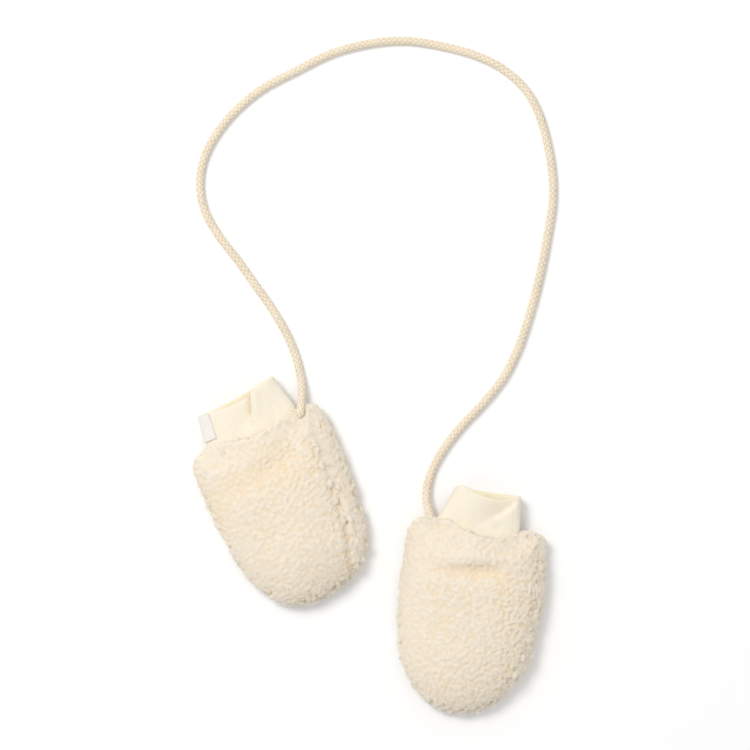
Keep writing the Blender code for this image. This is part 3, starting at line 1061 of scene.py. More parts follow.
@dataclass
class BraidedCord:
    """Round braid of eight yarns, four each way, each over one and under one."""

    diameter: float = 5.0 * MM
    ring_step: float = 0.48 * MM
    yarns_each_way: int = 4
    stitch: float = 3.2 * MM
    yarn_rise: float = 0.55 * MM
    weave_rise: float = 0.33 * MM
    yarn_half_width: float = 1.12 * MM
    hidden_angle: float = math.radians(80)
    samples_on_top: int = 34
    samples_below: int = 6
    listed_every: int = 6
    route: tuple[Triple, ...] = CORD_ROUTE

    def braid(self, angle: Array, run: Array) -> tuple[Array, Array]:
        """Works out the braid's surface.

        Args:
            angle: the angle round the cord of each point.
            run: the distance along the cord of each point.

        Returns:
            The radius of each point, and its place on its yarn in millimetres as rows of
            across, along and 0.
        """
        turn = math.tau / (self.yarns_each_way * self.stitch)
        lean = math.atan(self.diameter / 2 * turn)
        best = np.full(angle.shape, -1.0)
        yarn = np.zeros(angle.shape + (3,))
        for way in (1.0, -1.0):
            phase = self.yarns_each_way * (angle - way * turn * run)
            phase = (phase + math.pi) % math.tau - math.pi
            across = phase / self.yarns_each_way * self.diameter / 2 * math.cos(lean)
            round_top = np.sqrt(np.clip(1 - (across / self.yarn_half_width) ** 2, 0, 1))
            over = way * np.cos(self.yarns_each_way * angle)
            height = self.weave_rise * (1 + over) + self.yarn_rise * round_top
            along = run * math.cos(lean) + way * angle * self.diameter / 2 * math.sin(lean)
            mine = height > best
            best = np.where(mine, height, best)
            place = np.stack([across / MM, along / MM, np.zeros(angle.shape)], axis=-1)
            yarn = np.where(mine[..., None], place, yarn)
        top = 2 * self.weave_rise + self.yarn_rise
        return self.diameter / 2 - top + best, yarn

    def build(self, finish: Material) -> Piece:
        """Args:
            finish: the cord's material.

        Returns:
            The cord.
        """
        path = smooth_route(self.route, self.ring_step)
        ahead = unit(np.gradient(path, axis=0))
        right = unit(np.cross(ahead, np.array([0.0, 0.0, 1.0])))
        up = np.cross(right, ahead)
        below = self.hidden_angle / 2
        top = np.linspace(below, math.tau - below, self.samples_on_top)
        under = np.linspace(-below, below, self.samples_below + 2)[1:-1]
        angle = np.concatenate([top, under]) - math.pi / 2
        run = np.arange(len(path)) * self.ring_step
        angles, runs = np.meshgrid(angle, run)
        radius, yarn = self.braid(angles, runs)
        rings = (
            path[:, None]
            + (radius * np.cos(angles))[..., None] * right[:, None]
            + (radius * np.sin(angles))[..., None] * up[:, None]
        )
        count, around = angles.shape
        index = np.arange(count * around).reshape(count, around)
        beside = np.roll(index, -1, axis=1)
        loops = np.stack([index[:-1], beside[:-1], beside[1:], index[1:]], axis=-1)
        points = rings.reshape(-1, 3)
        points[:, 2] = np.maximum(points[:, 2], 0.0)
        piece = new_piece("cord_braid", points, loops.reshape(-1, 4))
        self.close_ends(piece)
        # How deep each point lies between the yarns, which sets the braid's painted shade.
        dip = 1 - (radius.reshape(-1) - radius.min()) / (radius.max() - radius.min())
        add_values(piece.data, "dip", dip)
        add_values(piece.data, "yarn", yarn.reshape(-1, 3))
        dress(piece, finish)
        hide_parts("cord")
        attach(piece, BODY)
        return piece

    def close_ends(self, piece: Piece) -> None:
        """Closes the two open ends of the tube, which are sewn into the fleece.

        Args:
            piece: the tube.
        """
        with editing(piece):
            bpy.ops.mesh.select_all(action="DESELECT")
            bpy.ops.mesh.select_non_manifold()
            bpy.ops.mesh.edge_face_add()
            bpy.ops.mesh.select_all(action="SELECT")
            bpy.ops.mesh.normals_make_consistent(inside=False)


# ------------------------------------------------------------------ teddy fleece


# Where the pile stands higher or lower than usual, and how far the cloth dips there.
PATCHES = {
    (Side.LEFT, Face.BACK): (
        Patch(12, 30, 17, 22, 0.35),
        Patch(0, 108, 40, 12, 0.1),
        Patch(31, 60, 8, 45, 0.3),
        Patch(-36, 45, 14, 50, -0.45),
        Patch(-5, 80, 20, 12, -0.12),
        Patch(-10, 3, 40, 8, -0.25),
    ),
    (Side.RIGHT, Face.BACK): (
        Patch(5, 42, 22, 11, 0.25),
        Patch(25, 65, 15, 35, 0.4),
        Patch(0, 102, 35, 12, 0.15),
        Patch(38, 30, 6, 30, 0.2),
        Patch(-36, 50, 9, 50, -0.25),
        Patch(-15, 12, 22, 12, -0.25),
        Patch(10, 5, 30, 7, -0.2),
    ),
    (Side.LEFT, Face.PALM): (Patch(40, 60, 12, 50, 0.3),),
    (Side.RIGHT, Face.PALM): (Patch(38, 60, 12, 50, 0.3),),
}
SEAM_CREASE = (
    Patch(30.6, 53, 1.7, 5, 1.0),
    Patch(29.5, 61, 1.7, 5, 2.6),
    Patch(28.6, 69, 1.7, 5, 2.8),
    Patch(28.8, 76, 1.7, 5, 2.8),
)
# Dents sink the cloth and, through the pile's depth, also darken its colour as painted shade.
DENTS = {
    (Side.LEFT, Face.BACK): (
        Patch(-16, 27, 24, 8, 1.7),
        Patch(8, 24, 14, 8, 1.3),
        Patch(10, 55, 16, 14, -0.8),
        Patch(-37, 40, 8, 26, 0.9),
        *SEAM_CREASE,
        Patch(27.0, 83, 1.8, 5, 2.8),
        Patch(24.2, 91, 1.8, 5, 2.8),
        Patch(21.0, 99, 1.8, 5, 2.0),
    ),
    (Side.LEFT, Face.PALM): SEAM_CREASE,
    (Side.RIGHT, Face.BACK): (
        Patch(-1, 26.5, 20, 3.8, 2.2),
        Patch(-13, 26, 9, 3.2, 0.7),
        Patch(6, 27, 10, 3.0, 0.8),
        Patch(0, 17, 24, 5, -0.9),
    ),
}


@dataclass(frozen=True)
class TuftShape:
    """A curled tuft: its half sizes, as shares of its spacing, and how it leans and sinks.

    A pair holds the least and the most of a spread, and height by relief is a line: its
    value at 0 and its slope. Heights are in millimetres.
    """

    length: float = 0.64
    lengths: Pair = (0.9, 1.25)
    width: float = 0.6
    widths: Pair = (0.85, 1.1)
    heights: Pair = (1.2, 1.7)
    height_by_relief: Pair = (0.7, 0.3)
    lean: float = 0.3
    lean_level: float = 0.3
    lean_reach: float = 0.7
    sunk: Pair = (0.85, 1.05)
    sunk_more: Pair = (-0.15, 0.3)


@dataclass(frozen=True)
class FibreShape:
    """A loose fibre: its sizes, how strongly each thing turns it, and where its light is from.

    A pair holds the least and the most of a spread, or a direction as cross and along. The
    pairs by relief and by up are lines: the value at 0 and the slope. The root's depth is in
    millimetres.
    """

    lengths: Pair = (1.8 * MM, 3.2 * MM)
    thicknesses: Pair = (0.09 * MM, 0.15 * MM)
    by_relief: Pair = (1.2, -0.4)
    longer_by_rim: float = 0.3
    by_up: Pair = (0.7, 0.3)
    stand: Pair = (0.15, 0.5)
    outward: float = 0.45
    around: float = 0.7
    comb: Pair = (0.2, 1.0)
    combed: float = 1.6
    over_rim: float = 1.4
    stray: float = 0.4
    curl: float = 1.1
    curl_stray: float = 0.5
    curl_inward: float = 0.5
    sharpest: float = 0.4
    root_depth: float = 0.3
    taper: float = 0.8
    flatness: float = 0.4
    twist: float = 0.05
    light_from_tuft: float = 0.2
    light_from_cloth: float = 0.35
    light_from_above: float = 0.8


@dataclass
class FleecePanel:
    """One cut piece of teddy fleece: its backing with a pile of curled tufts."""

    side: Side
    face: Face
    seed: int
    form: Form
    neighbour: Form
    tuft: TuftShape = TuftShape()
    fibre: FibreShape = FibreShape()
    flat: Pair = (0.100, 0.122)
    area: float = 0.0103
    # The pile side: its faces look away from a line inside the mitten.
    outward: float = 0.12
    pivot_height: float = 11.0 * MM
    pivot_from: float = 30.0 * MM
    pivot_to: float = 70.0 * MM
    ray_start: float = 0.02
    seam_reach: float = 2.5 * MM
    # The pile's relief, from 0 to 1, and how far its backing lies under the form.
    least_relief: float = 0.15
    mean_relief: float = 0.5
    side_relief: float = 0.4
    shallow_inset: float = 0.6 * MM
    deepest_inset: float = 1.7 * MM
    # How the tufts are spread, and how uneven they grow.
    tuft_spacing: float = 2.25 * MM
    spacings: Pair = (0.7, 1.35)
    by_relief: Pair = (1.3, -0.3)
    side_size: float = 0.65
    side_stand: float = 1.15
    cover: float = 0.75
    tries: int = 7
    bulge: float = 0.75
    uneven_wave: float = 2.6 * MM
    uneven_reach: float = 0.35 * MM
    # The row of tufts on the rim. The neck's end and fade are in millimetres along.
    rim_tuft: float = 3.0 * MM
    rim_step: float = 2.1 * MM
    rim_tries: int = 6
    rim_hang: Pair = (-1.0 * MM, 3.2 * MM)
    rim_drop: Pair = (-0.5 * MM, 0.4 * MM)
    rim_reach: float = 2.0 * MM
    neck_drop: float = 0.8 * MM
    neck_end: float = 8.0
    neck_fade: float = 4.0
    # The skin, its depth, which with the cloth's dips sets the painted shade, and its normals.
    voxel: float = 0.58 * MM
    smoothing: int = 2
    hidden_share: float = 0.12
    hidden_depth: float = 0.8 * MM
    dip_shade_share: float = 0.3
    deepest_dip: float = 4.0
    rim_band: float = 3.0 * MM
    normal_blend: float = 0.4
    blend_by_rim: Pair = (0.6, 0.4)
    # The loose fibres.
    fuzz_count: int = 12500
    fuzz_from: float = 0.5 * MM
    rim_fuzz: float = 7.0
    side_fuzz: float = 0.5

    def __post_init__(self) -> None:
        """Works out the name and the place from the side and the face."""
        self.node = f"{self.side.value}_{self.face.value}"
        self.place = PLACES[self.side]
        self.dents = DENTS.get((self.side, self.face), ())
        self.rng = np.random.default_rng(self.seed)
        self.outer = self.outer_faces()

    def outer_faces(self) -> Array:
        """Tells which faces of the form look out and aren't covered by the neighbour.

        Returns:
            True for each triangle on the pile side.
        """
        form = self.form
        _, along = self.place.axes()
        base = np.array([self.place.x, self.place.y, self.pivot_height])
        run = np.clip((form.middles - base) @ along, self.pivot_from, self.pivot_to)
        away = form.middles - (base + run[:, None] * along)
        outer = dot(unit(away), form.facing) > self.outward
        for i in np.flatnonzero(outer).tolist():
            facing = form.facing[i]
            start = form.middles[i] + facing * self.ray_start * MM
            ray = (start.tolist(), facing.tolist(), self.seam_reach)
            outer[i] = self.neighbour.tree.ray_cast(*ray)[0] is None
        return outer

    def relief(self, points: Array, normals: Array) -> Array:
        """Tells how high the tufts stand at each point, up to 1.

        Args:
            points: rows of x, y, z.
            normals: the surface's normals there.

        Returns:
            The relief at each point. The sides of a mitten have more of it than its top.
        """
        cross, along, _ = self.place.local(points).T
        more = sum(patch.at(cross, along) for patch in PATCHES[(self.side, self.face)])
        sides = self.side_relief * smooth_step(1.4 - 2 * np.abs(normals[:, 2]))
        return np.clip(self.mean_relief + more + sides, self.least_relief, 1.0)

    def backing(self) -> Array:
        """Moves the pile side of the form in, to where the tufts grow from.

        Returns:
            The backing's points, in the form's order.
        """
        form, outer = self.form, self.outer
        outside = np.zeros(len(form.points))
        inside = np.zeros(len(form.points))
        for k in range(3):
            np.add.at(outside, form.corners[outer, k], form.areas[outer])
            np.add.at(inside, form.corners[~outer, k], form.areas[~outer])
        relief = self.relief(form.points, form.normals)
        inset = self.shallow_inset + (self.deepest_inset - self.shallow_inset) * relief
        return form.points - form.normals * (inset * (outside > inside))[:, None]

    def scatter(self) -> tuple[Array, Array, Array]:
        """Spreads tufts evenly but without rows over the pile side.

        Returns:
            The tufts' places on the surface, its normals there and the tufts' spacings.
        """
        form = self.form
        weight = form.areas * self.outer
        wanted = int(weight.sum() / (self.tuft_spacing**2 * self.cover)) * self.tries
        chosen = self.rng.choice(len(weight), size=wanted, p=weight / weight.sum())
        share = self.rng.random((wanted, 2))
        over = share.sum(axis=1) > 1
        share[over] = 1 - share[over]
        parts = np.column_stack([1 - share.sum(axis=1), share])
        corner = form.points[form.corners[chosen]]
        normal = form.normals[form.corners[chosen]]
        places = (corner * parts[..., None]).sum(axis=1)
        lift = ((corner - places[:, None]) * normal).sum(axis=2)
        bulge = (normal * lift[..., None] * parts[..., None]).sum(axis=1)
        places = places + self.bulge * bulge
        normals = unit((normal * parts[..., None]).sum(axis=1))
        relief = self.relief(places, normals)
        spacing = self.tuft_spacing * self.rng.uniform(*self.spacings, wanted)
        spacing *= rise(self.by_relief, relief) + self.side_size * looks_aside(normals)
        kept = self.thin_out(places, spacing)
        return places[kept], normals[kept], spacing[kept]

    def thin_out(self, places: Array, spacing: Array) -> list[int]:
        """Keeps only places that stand clear of those kept before them.

        Args:
            places: the candidates.
            spacing: the room that each one wants.

        Returns:
            The numbers of the places that are kept.
        """
        cell = float(spacing.max())
        keys = np.floor(places / cell).astype(int).tolist()
        near = [(a, b, c) for a in (-1, 0, 1) for b in (-1, 0, 1) for c in (-1, 0, 1)]
        grid: dict[tuple[int, int, int], list[int]] = {}
        kept = []
        rows = places.tolist()
        for i, (x, y, z) in enumerate(keys):
            around = [j for a, b, c in near for j in grid.get((x + a, y + b, z + c), ())]
            if around:
                gaps = np.linalg.norm(places[around] - rows[i], axis=1)
                if (gaps < 0.5 * (spacing[around] + spacing[i])).any():
                    continue
            kept.append(i)
            grid.setdefault((x, y, z), []).append(i)
        return kept

    def rim_row(self) -> tuple[Array, Array]:
        """Sets a row of tufts on the panel's rim, which hang over the seam and the neck.

        Returns:
            The places of the tufts on the rim and the pile side's normals there.
        """
        form, outer = self.form, self.outer
        sides = np.vstack([form.corners[:, [k, (k + 1) % 3]] for k in range(3)])
        edges = np.sort(sides, axis=1)
        faces = np.tile(np.arange(len(form.corners)), 3)
        _, number = np.unique(edges, axis=0, return_inverse=True)
        order = np.argsort(number.ravel(), kind="stable")
        pairs = faces[order].reshape(-1, 2)
        ends = edges[order[::2]]
        rim = outer[pairs[:, 0]] != outer[pairs[:, 1]]
        pairs, ends = pairs[rim], ends[rim]
        swap = ~outer[pairs[:, 0]]
        pairs[swap] = pairs[swap][:, ::-1]
        normals = form.facing[pairs[:, 0]]
        over = laid_down(form.facing[pairs[:, 1]], normals)
        start, end = form.points[ends[:, 0]], form.points[ends[:, 1]]
        length = np.linalg.norm(end - start, axis=1)
        count = round(length.sum() / self.rim_step) * self.rim_tries
        chosen = self.rng.choice(len(pairs), size=count, p=length / length.sum())
        share = self.rng.random((count, 1))
        places = start[chosen] + share * (end - start)[chosen]
        kept = np.array(self.thin_out(places, np.full(count, self.rim_step)))
        places, chosen = places[kept], chosen[kept]
        hang = self.rng.uniform(*self.rim_hang, (len(kept), 1))
        drop = self.rng.uniform(*self.rim_drop, (len(kept), 1))
        along = self.place.local(places)[:, 1:2]
        drop += self.neck_drop * smooth_step((self.neck_end - along) / self.neck_fade)
        self.rim_over = over[chosen]
        return places + over[chosen] * hang - normals[chosen] * drop, normals[chosen]

    def tufts(self, places: Array, normals: Array, spacing: Array) -> tuple[Array, Array]:
        """Models one curled tuft at each place.

        Args:
            places: the tufts' places on the surface.
            normals: the surface's normals there.
            spacing: the tufts' spacings.

        Returns:
            The points and the triangles of all tufts.
        """
        bpy.ops.mesh.primitive_ico_sphere_add(subdivisions=2, radius=1.0)
        ball = bpy.context.object
        points, corners = mesh_points(ball.data), mesh_corners(ball.data)
        bpy.data.objects.remove(ball)
        count, rng, tuft = len(places), self.rng, self.tuft
        relief = self.relief(places, normals)
        long_way = unit(np.cross(normals, rng.normal(size=(count, 3))))
        short_way = np.cross(normals, long_way)
        half_long = tuft.length * spacing * rng.uniform(*tuft.lengths, count)
        half_short = tuft.width * spacing * rng.uniform(*tuft.widths, count)
        half_high = rng.uniform(*tuft.heights, count) * MM * rise(tuft.height_by_relief, relief)
        lean = rng.normal(size=(count, 2)) * tuft.lean
        sunk = half_high * rng.uniform(*tuft.sunk, count)
        sunk += rng.uniform(*tuft.sunk_more, count) * MM
        sunk -= half_high * (rng.uniform(0.0, self.side_stand, count) * looks_aside(normals))
        height = points[:, 2] + tuft.lean_level
        cloud = (places - normals * sunk[:, None])[:, None]
        for k, half, way in ((0, half_long, long_way), (1, half_short, short_way)):
            half = half[:, None]
            leaning = lean[:, k : k + 1] * height * half * tuft.lean_reach
            cloud = cloud + (points[None, :, k] * half + leaning)[..., None] * way[:, None]
        upright = points[None, :, 2] * half_high[:, None]
        cloud = cloud + upright[..., None] * normals[:, None]
        first = (np.arange(count) * len(points))[:, None, None]
        return cloud.reshape(-1, 3), (corners[None] + first).reshape(-1, 3)

    def pile(self) -> Piece:
        """Models the panel: backing and tufts grown together into one skin.

        Returns:
            The pile, with its depth as an attribute.
        """
        backing = self.backing()
        places, normals, spacing = self.scatter()
        self.rim, self.rim_normals = self.rim_row()
        self.centres = np.vstack([places, self.rim])
        normals = np.vstack([normals, self.rim_normals])
        spacing = np.concatenate([spacing, np.full(len(self.rim), self.rim_tuft)])
        cloud, corners = self.tufts(self.centres, normals, spacing)
        cloud = wander(cloud, self.rng, self.uneven_wave, self.uneven_reach)
        piece = new_piece(
            f"{self.side.value}_{self.face.value.replace('panel', 'pile')}",
            np.vstack([backing, cloud]),
            np.vstack([self.form.corners, corners + len(backing)]),
        )
        apply_modifier(piece, "REMESH", mode="VOXEL", voxel_size=self.voxel)
        piece = keep_largest(piece)
        apply_modifier(piece, "SMOOTH", factor=0.5, iterations=self.smoothing)
        self.thin_hidden_side(piece)
        self.shade(piece)
        return piece

    def shade(self, piece: Piece) -> None:
        """Writes the pile's depth, deeper in the cloth's dips, for the painted shade, and
        blends its normals with the cloth's, to soften it.

        Args:
            piece: the pile.
        """
        mesh = piece.data
        points = mesh_points(mesh)
        places, depth, triangles = self.form.nearest(points)
        rim, rim_gap = nearest_of(self.rim, points)
        shown = self.outer[triangles]
        self.dip = self.dip_at(places)
        # Painted shade: dents and creases count as deeper pile, so they take the darker colour
        # of the hollows.
        depth = depth + self.dip_shade_share * self.dip * MM
        add_values(mesh, "pile_depth", np.where(shown, depth, self.hidden_depth) / MM)
        points[:, 2] = np.maximum(points[:, 2], 0.0)
        set_points(mesh, points)
        shade_smooth(piece)
        own = mesh_normals(mesh)
        in_band = rim_gap < self.rim_band
        past_rim = np.where(in_band[:, None], unit(self.rim_normals[rim] + own), own)
        cloth = self.form.smooth_normals(places, triangles)
        self.cloth_normals = np.where(shown[:, None], cloth, past_rim)
        self.shown = shown | in_band
        self.by_rim = self.rim_share(rim_gap)
        share = rise(self.blend_by_rim, smooth_step(rim_gap / self.rim_band))
        turn = (self.cloth_normals - own) * (self.normal_blend * share)[:, None]
        mesh.normals_split_custom_set_from_vertices(unit(own + turn).tolist())

    def rim_share(self, gap: Array) -> Array:
        """Tells from 0 to 1 how near the rim something at that distance is."""
        return smooth_step(1.5 - gap / self.rim_reach)

    def dip_at(self, places: Array) -> Array:
        """Tells how far the cloth dips at each place, in millimetres.

        Args:
            places: rows of x, y, z.

        Returns:
            The depth of the dents and creases there.
        """
        cross, along, _ = self.place.local(places).T
        dip = np.zeros(len(places))
        for dent in self.dents:
            dip += np.clip(dent.at(cross, along), 0, None)
        return np.minimum(dip, self.deepest_dip)

    def thin_hidden_side(self, piece: Piece) -> None:
        """Makes the side that faces the pocket coarser, since nothing shows it.

        Args:
            piece: the pile.
        """
        points = mesh_points(piece.data)
        _, _, triangles = self.form.nearest(points)
        _, rim_gap = nearest_of(self.rim, points)
        hidden = np.flatnonzero(~self.outer[triangles] & (rim_gap > self.rim_band))
        group = piece.vertex_groups.new(name="hidden")
        group.add(hidden.tolist(), 1.0, "REPLACE")
        share = len(hidden) / len(piece.data.vertices)
        apply_modifier(
            piece,
            "DECIMATE",
            ratio=1 - share * (1 - self.hidden_share),
            vertex_group="hidden",
            vertex_group_factor=10.0,
        )
        piece.vertex_groups.clear()

    def fibre_roots(self, mesh: Mesh) -> list[Array]:
        """Picks where the fibres stand: more by the rim, fewer on the sides and in dips.

        Args:
            mesh: the finished pile's mesh.

        Returns:
            The fibres' roots, the pile's normals there and the cloth's normals there.
        """
        points, normals, corners = mesh_points(mesh), mesh_normals(mesh), mesh_corners(mesh)
        tables = (points, normals, self.cloth_normals)
        corners = corners[self.shown[corners].all(axis=1)]
        corners = corners[points[corners][:, :, 2].min(axis=1) > self.fuzz_from]
        a, b, c = (points[corners[:, k]] for k in range(3))
        weight = np.linalg.norm(np.cross(b - a, c - a), axis=1)
        weight = weight * (1 + self.rim_fuzz * self.by_rim[corners].mean(axis=1))
        upward = looks_up(self.cloth_normals[corners][:, :, 2].mean(axis=1))
        weight *= self.side_fuzz + (1 - self.side_fuzz) * upward
        weight *= np.exp(-self.dip[corners].mean(axis=1))
        share = weight / weight.sum()
        face = corners[self.rng.choice(len(corners), size=self.fuzz_count, p=share)]
        part = self.rng.dirichlet((1.0, 1.0, 1.0), self.fuzz_count)[..., None]
        root, *ways = ((table[face] * part).sum(axis=1) for table in tables)
        return [root, *(unit(way) for way in ways)]

    def fuzz(self, pile: Piece) -> Piece:
        """Grows fibres out of the pile, laid round the tuft that each stands on.

        Args:
            pile: the finished pile.

        Returns:
            The fibres as one piece.
        """
        rng, fibre, count = self.rng, self.fibre, self.fuzz_count
        root, normal, cloth = self.fibre_roots(pile.data)
        tuft, _ = nearest_of(self.centres, root)
        rim, rim_gap = nearest_of(self.rim, root)
        by_rim = self.rim_share(rim_gap)[:, None]
        swirl = rng.choice([-1.0, 1.0], len(self.centres))[tuft][:, None]
        outward = laid_down(root - self.centres[tuft], normal)
        around = np.cross(normal, outward) * swirl
        relief = self.relief(root, cloth)[:, None]
        way = unit(
            cloth * rng.uniform(*fibre.stand, (count, 1))
            + (fibre.outward * outward + fibre.around * around) * relief
            + self.place.direction(*fibre.comb) * (1 - relief) * fibre.combed
            + self.rim_over[rim] * by_rim * fibre.over_rim
            + rng.normal(size=(count, 3)) * fibre.stray
        )
        stray = fibre.curl_stray * rng.normal(size=(count, 3))
        bend = unit(way + fibre.curl * around + stray - fibre.curl_inward * outward)
        back = np.clip(fibre.sharpest - dot(bend, way), 0, None)
        bend = unit(bend + back[:, None] * way)
        length = rng.uniform(*fibre.lengths, count)[:, None]
        length = length * (rise(fibre.by_relief, relief) + fibre.longer_by_rim * by_rim)
        length *= rise(fibre.by_up, looks_up(cloth[:, 2:]))
        thick = rng.uniform(*fibre.thicknesses, count)[:, None]
        lit = sees_sky(cloth[:, 2:]) * np.array([0.0, 0.0, 1.0])
        soft = fibre.light_from_tuft * normal + fibre.light_from_cloth * cloth
        soft = unit(soft + fibre.light_from_above * lit)
        first = unit(np.cross(soft, way + fibre.twist * rng.normal(size=(count, 3))))
        second = fibre.flatness * np.cross(way, first)
        elbow = root + way * length * 0.5
        rows = [
            centre + wide * thick * side
            for centre, wide in (
                (root - normal * fibre.root_depth * MM, 1.0),
                (elbow, fibre.taper),
            )
            for side in (first, second, -first)
        ]
        cloud = np.stack([*rows, elbow + bend * length * 0.5], axis=1)
        cloud[..., 2] = np.maximum(cloud[..., 2], 0.0)
        name = pile.name.replace("pile", "fuzz")
        piece = new_piece(name, cloud.reshape(-1, 3), self.fibre_faces(count))
        # Painted shade: each fibre is darker at its root and pale at its tip.
        ring_depths = np.repeat([0.5, 0.2, 0.0], (3, 3, 1))
        add_values(piece.data, "pile_depth", np.tile(ring_depths, count))
        shade_smooth(piece)
        own = np.repeat(soft, len(ring_depths), axis=0)
        piece.data.normals_split_custom_set_from_vertices(own.tolist())
        return piece

    def fibre_faces(self, count: int) -> Array:
        """Lists the faces of fibres of two rings of three points and a tip.

        Args:
            count: how many fibres there are.

        Returns:
            One row of three vertex numbers for each face.
        """
        around = [(k, (k + 1) % 3) for k in range(3)]
        one = [(0, 2, 1)] + [(a, b, 3 + b) for a, b in around]
        one += [(a, 3 + b, 3 + a) for a, b in around] + [(3 + a, 3 + b, 6) for a, b in around]
        return (np.array(one)[None] + (np.arange(count) * 7)[:, None, None]).reshape(-1, 3)

    def build(self, pile_finish: Material, fibre_finish: Material) -> None:
        """Args:
            pile_finish: the pile's material.
            fibre_finish: the loose fibres' material.
        """
        pile = self.pile()
        fuzz = self.fuzz(pile)
        for piece, material in ((pile, pile_finish), (fuzz, fibre_finish)):
            piece.data.materials.clear()
            piece.data.materials.append(material)
            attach(piece, BODY)
        # Single fibres are finer than these and let light through, so they cast no shadow.
        fuzz.visible_shadow = False
        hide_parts(self.node)
        faces = [len(piece.data.polygons) for piece in (pile, fuzz)]
        LOG.info("%s: %d faces, fuzz %d", pile.name, *faces)


# ------------------------------------------------------------------ jersey cuffs


@dataclass(frozen=True)
class Fold:
    """A soft trough or ridge along a line on a cuff, in the mitten's own millimetres.

    Where it falls off faster on its far side, the cloth steps up there as at a crease. Its
    crease strength paints shade along its line on the cuff's upper side.
    """

    start: Pair
    end: Pair
    half_width: float
    rise: float
    upper: bool = True
    far_width: float | None = None
    # How strongly shade is painted along the fold's line.
    crease: float = 0.0

    def offset(self, cross: Array, along: Array) -> tuple[Array, Array, Array]:
        """Works out where each point lies by the fold's line.

        Args:
            cross: each point's place over the width.
            along: each point's place along the mitten.

        Returns:
            The line, each point's offset from its start, and how far to its near side.
        """
        line = np.array(self.end) - np.array(self.start)
        offset = np.stack([cross - self.start[0], along - self.start[1]], axis=1)
        return line, offset, line[0] * offset[:, 1] - line[1] * offset[:, 0]

    def lay(self, cross: Array, along: Array, upper: Array) -> Array:
        """Works out each point's place by the fold, for the painted shade in its crease.

        Args:
            cross: each vertex's place over the width.
            along: each vertex's place along the mitten.
            upper: True for each vertex of the cuff's upper side.

        Returns:
            Rows of the distance to the fold's line, more than 0 on its near side, of the
            share of the line passed, and of the strength of the crease's painted shade, 0 on
            the lower side.
        """
        line, offset, beside = self.offset(cross, along)
        length = np.linalg.norm(line)
        share = offset @ line / length**2
        return np.stack([beside / length, share, self.crease * upper], axis=1)

    def at(self, cross: Array, along: Array) -> Array:
        """Works out how far the fold lifts the cloth.

        Args:
            cross: each vertex's place over the width.
            along: each vertex's place along the mitten.

        Returns:
            The lift of each vertex in millimetres.
        """
        line, offset, beside = self.offset(cross, along)
        share = np.clip(offset @ line / (line @ line), 0, 1)
        distance = np.linalg.norm(offset - share[:, None] * line, axis=1)
        width = np.where(beside > 0, self.half_width, self.far_width or self.half_width)
        return self.rise * np.exp(-((distance / width) ** 2))


# The folds with a crease also paint shade along their line.
FOLDS = {
    Side.LEFT: (
        Fold((8.4, -23), (2.2, -6.5), 7.5, -3.2, far_width=0.9),
        Fold((8.2, -22.5), (2.2, -7.0), 1.0, -1.2, crease=0.9),
        Fold((11.5, -24), (6.0, -8), 2.6, 0.7),
        Fold((-16, -12), (-12, -3), 2.2, 0.35),
        Fold((16.5, -9), (15.0, 0), 1.3, -0.5),
        Fold((-8.5, -5), (-7.5, 2), 1.2, -0.45),
        Fold((22.0, -18), (20.5, -6), 2.4, -0.3),
        Fold((-6, -20), (-3, -4), 2.4, 0.6, upper=False),
        Fold((9, -14), (12, 0), 1.8, 0.5, upper=False),
    ),
    Side.RIGHT: (
        Fold((20.5, -15.4), (10.0, -6.6), 7.0, -2.8, far_width=1.1),
        Fold((20.0, -15.0), (11.5, -8.0), 1.4, -0.5, crease=0.3),
        Fold((22.0, -12.5), (13.0, -5.0), 2.6, 0.5),
        Fold((-12, -14), (-9, -2), 2.6, -0.5),
        Fold((-2, -9), (-1, 0), 1.4, -0.4),
        Fold((14.0, -8), (12.5, 0), 1.6, -0.5),
        Fold((-20, -12), (-17, -3), 1.8, 0.4),
        Fold((3, -22), (5, -6), 2.6, 0.6, upper=False),
        Fold((-14, -14), (-12, 0), 1.9, 0.5, upper=False),
    ),
}


